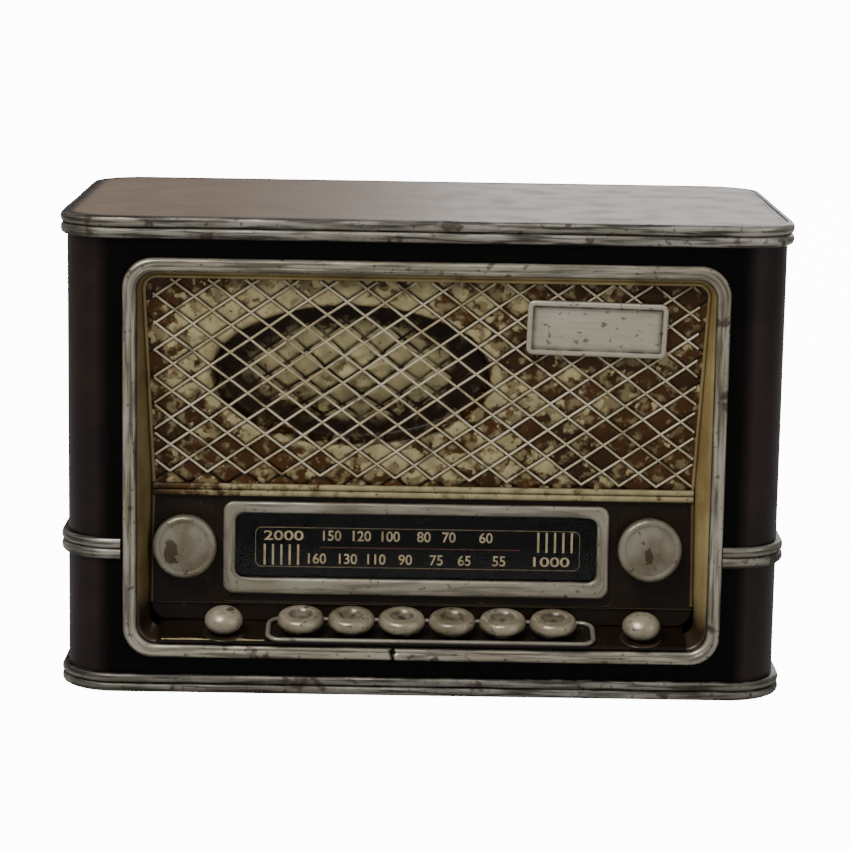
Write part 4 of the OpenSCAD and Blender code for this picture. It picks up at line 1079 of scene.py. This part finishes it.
for side, side_name in ((-1, "left"), (1, "right")):
    knob_place = (knob_middle[0] + side * knob_reach, knob_middle[1] + side * left_knob_sag, 0)
    rubbed_spot = (-1.4 + side * 1.6, -0.4, 0.8 - 0.3 * side)
    turned_piece(
        f"{side_name}_tuning_knob", knob_profile, knob_shade, knob_place, fold, dial_tilt, knob_finish,
        f"{side_name}_knob", [f"{side_name}_knob"], 121 + side, worn=rubbed_spot,
    )

# ---- Key shelf: tray, press keys and ball knobs ----
# Six barrel-shaped caps with dished tops sit in a tray with a rolled lip, and a small ball on a
# dark collar stands at each side. All are silver over brown, with soil and painted shade in the
# dishes, painted shade round the caps' feet and under the balls, and a floor painted black as shadow.

shelf_origin = np.array([0, frame_front + 0.4 * mm, 12.9 * mm])
shelf_tilt = np.degrees(np.arctan(draft))


def tray_silver():
    """Silver on the tray's lip, over a floor painted near black as painted shadow; height above the shelf
    tells them apart.
    """
    made = silver_paint("tray_silver", (0.34, 0.31, 0.25), (0.20, 0.175, 0.125), 0.62, 18.0, streaky=0.0)
    tree = made.node_tree
    surface = tree.nodes["Principled BSDF"]
    place = node(tree, "ShaderNodeTexCoord").outputs["Object"]
    from_shelf = node(tree, "ShaderNodeVectorMath", {0: place, 1: shelf_origin}, operation="SUBTRACT")
    shelf_up = (0, -np.sin(np.radians(shelf_tilt)), np.cos(np.radians(shelf_tilt)))
    along_up = {0: from_shelf.outputs[0], 1: shelf_up}
    height = node(tree, "ShaderNodeVectorMath", along_up, operation="DOT_PRODUCT")
    # Painted shadow: the tray's floor under the keys is painted near black and not metallic.
    floor_shadow = fade(tree, height.outputs["Value"], 0.85 * mm, 0.5 * mm)
    silver = surface.inputs["Base Color"].links[0].from_socket
    tree.links.new(mix(tree, floor_shadow, silver, (0.01, 0.006, 0.003)), surface.inputs["Base Color"])
    tree.links.new(spread(tree, floor_shadow, 0.45, 0.0), surface.inputs["Metallic"])
    return made


paint_node("key_tray", tray_silver())
# Very dark silver for the collars under the balls.
collar_finish = knob_silver(
    "dark_collar_silver", (0.10, 0.07, 0.04), (0.04, 0.025, 0.012), (0.02, 0.012, 0.006), 125.0
)
key_finish = knob_silver(
    "worn_key_silver", (0.42, 0.365, 0.265), (0.20, 0.165, 0.095), (0.06, 0.035, 0.012), 130.0
)
key_profile = [
    (0, -6), (1.4, -6), (1.4, 3.1), (3, 3.1), (3, 1.35), (4.5, 1.35), (4.65, 1.55), (4.9, 1.95), (5.15, 2.2),
    (5.33, 2.45), (5.42, 2.65), (5.49, 3.0), (5.5, 3.3), (5.42, 3.65), (5.3, 4.0), (5.15, 4.3), (4.95, 4.55),
    (4.7, 4.73), (4.4, 4.86), (4.0, 4.94), (3.6, 4.98), (3.2, 4.99), (2.95, 4.92), (2.7, 4.76), (2.5, 4.55),
    (2.3, 4.36), (2.0, 4.18), (1.6, 4.06), (1.1, 4.01), (0.5, 3.97), (0, 3.9),
]
key_shade = (
    [1, 1, 1, 1, 1, 1, 1, 0.95, 0.85, 0.7, 0.5, 0.3, 0.15, 0.05, 0, 0, 0, 0.05]
    + [0.15, 0.2, 0.15, 0.1, 0.2, 0.4, 0.6, 0.65, 0.6, 0.5, 0.45, 0.6, 0.9]
)
key_count = 6
key_pitch = 11.8
key_row = (1.3, 4.9)
for i in range(key_count):
    key_name = f"key_{i + 1}"
    key_place = (key_row[0] + (i - (key_count - 1) / 2) * key_pitch, key_row[1], 0)
    turned_piece(
        f"press_{key_name}", key_profile, key_shade, key_place, shelf_origin, shelf_tilt, key_finish,
        key_name, [key_name], 131 + i, worn=(1.5 - 0.7 * i, 1.0, 0.5),
    )

edge_steps = 160
edge_sides = 7
edge_start = -60.5 * mm
edge_end = -36.5 * mm
edge_x = np.linspace(edge_start, edge_end, edge_steps)
edge_angle = np.linspace(0, np.pi, edge_sides)
edge_path = np.column_stack([edge_x, np.zeros(edge_steps), np.zeros(edge_steps)])
edge_width = 0.75 + 0.45 * ripple(edge_path, 5 * mm, 161) + 0.2 * ripple(edge_path, 1.6 * mm, 162)
edge_width = edge_width.clip(0.12) * mm
edge_width *= np.sin(np.linspace(0.05, np.pi - 0.05, edge_steps)) ** 0.3
edge_points = np.empty((edge_steps, edge_sides, 3))
edge_points[:, :, 0] = edge_x[:, None]
edge_points[:, :, 1] = edge_width[:, None] * (0.5 - 0.5 * np.cos(edge_angle))
edge_points[:, :, 2] = 0.16 * mm * np.sin(edge_angle) + 0.01 * mm
# A thin pale strip along the shelf's front edge, left of the tray.
make_piece(
    "pale_shelf_edge", tilted(edge_points, shelf_origin, shelf_tilt), stack_faces(edge_steps, edge_sides),
    gold, marks={"cream": np.full((edge_steps, edge_sides), 0.8)},
)

ball_angle = np.radians(np.arange(-50, 91, 10))
ball_r = 4.45
ball_h = 5.88
ball_rise = 0.6 + ball_h * (0.46 + 0.54 * np.sin(ball_angle))
ball_curve = np.column_stack([ball_r * np.cos(ball_angle).clip(0), ball_rise])
ball_profile = [(0, -6), (1.2, -6), (1.2, 0.6), (2.6, 0.6)] + [tuple(pair) for pair in ball_curve]
ball_shade = [1, 1, 1, 1] + list(np.linspace(0.9, 0, 6)) + [0] * 9
collar_profile = [
    (1.24, 0), (4.9, 0), (5, 0.12), (4.95, 0.25), (4.75, 0.36), (4.4, 0.4), (1.24, 0.4), (1.24, 0),
]
collar_shade = [0.6, 0.6, 0.5, 0.3, 0.3, 0.7, 1, 0.6]
ball_middle = (2.6, 4.0)
ball_reach = 48.75
for side, side_name in ((-1, "left"), (1, "right")):
    ball_place = (ball_middle[0] + side * ball_reach, ball_middle[1], 0)
    turned_piece(
        f"{side_name}_ball", ball_profile, ball_shade, ball_place, shelf_origin, shelf_tilt, key_finish,
        f"{side_name}_ball_knob", [f"{side_name}_ball_knob"], 141 + side, worn=(1.2, 1.5, 0.5),
    )
    turned_piece(
        f"{side_name}_ball_collar", collar_profile, collar_shade, ball_place, shelf_origin, shelf_tilt,
        collar_finish, "case", ["ball_knob_collars"], 151 + side,
    )

# ---- Metal of the movement ----
# The plates and wheels are rolled brass, the arbors, screws and comb are steel, and the key at
# the back is nickelled. Each has fine rolling lines and dull spots from handling.


def rolled_metal(name, bright, dull, low_rough, high_rough, seed):
    """Bare metal between two tones, with rolling lines along X in its roughness and dull spots."""
    made, tree, surface = new_material(name, Metallic=1.0)
    spots = patches(tree, 110, 0.45, 0.75, seed=seed)
    lines = patches(tree, 900, 0.3, 0.7, detail=3.0, long=25, seed=seed + 1)
    line_rough = spread(tree, lines, low_rough, high_rough)
    spot_rough = spread(tree, spots, 0, high_rough + 0.1)
    coat(tree, surface, mix(tree, spots, bright, dull), sums(tree, "MAXIMUM", line_rough, spot_rough))
    uneven(tree, surface, lines, 0.15, 0.05 * mm)
    return made


brass = rolled_metal("rolled_brass", (0.62, 0.42, 0.14), (0.38, 0.24, 0.08), 0.22, 0.34, 160.0)
steel = rolled_metal("dull_nickel", (0.52, 0.50, 0.47), (0.28, 0.25, 0.21), 0.2, 0.36, 170.0)
spring_finish = rolled_metal("dark_spring_steel", (0.10, 0.09, 0.085), (0.05, 0.045, 0.04), 0.25, 0.4, 180.0)
for part_name in (
    "knob_nuts", "bedplate", "front_bridge", "rear_bridge", "spring_barrel", "barrel_cap", "cylinder_arbor",
    "pin_cylinder", "governor_wheel", "governor_frame",
):
    paint_node(part_name, brass)
for part_name in (
    "movement_screws", "bridge_screws", "comb_screws", "back_cover_screws", "comb", "click", "winding_arbor",
    "ratchet_wheel", "winding_key", "fly",
):
    paint_node(part_name, steel)
for part_name in ("mainspring", *(f"key_spring_{i + 1}" for i in range(key_count))):
    paint_node(part_name, spring_finish)
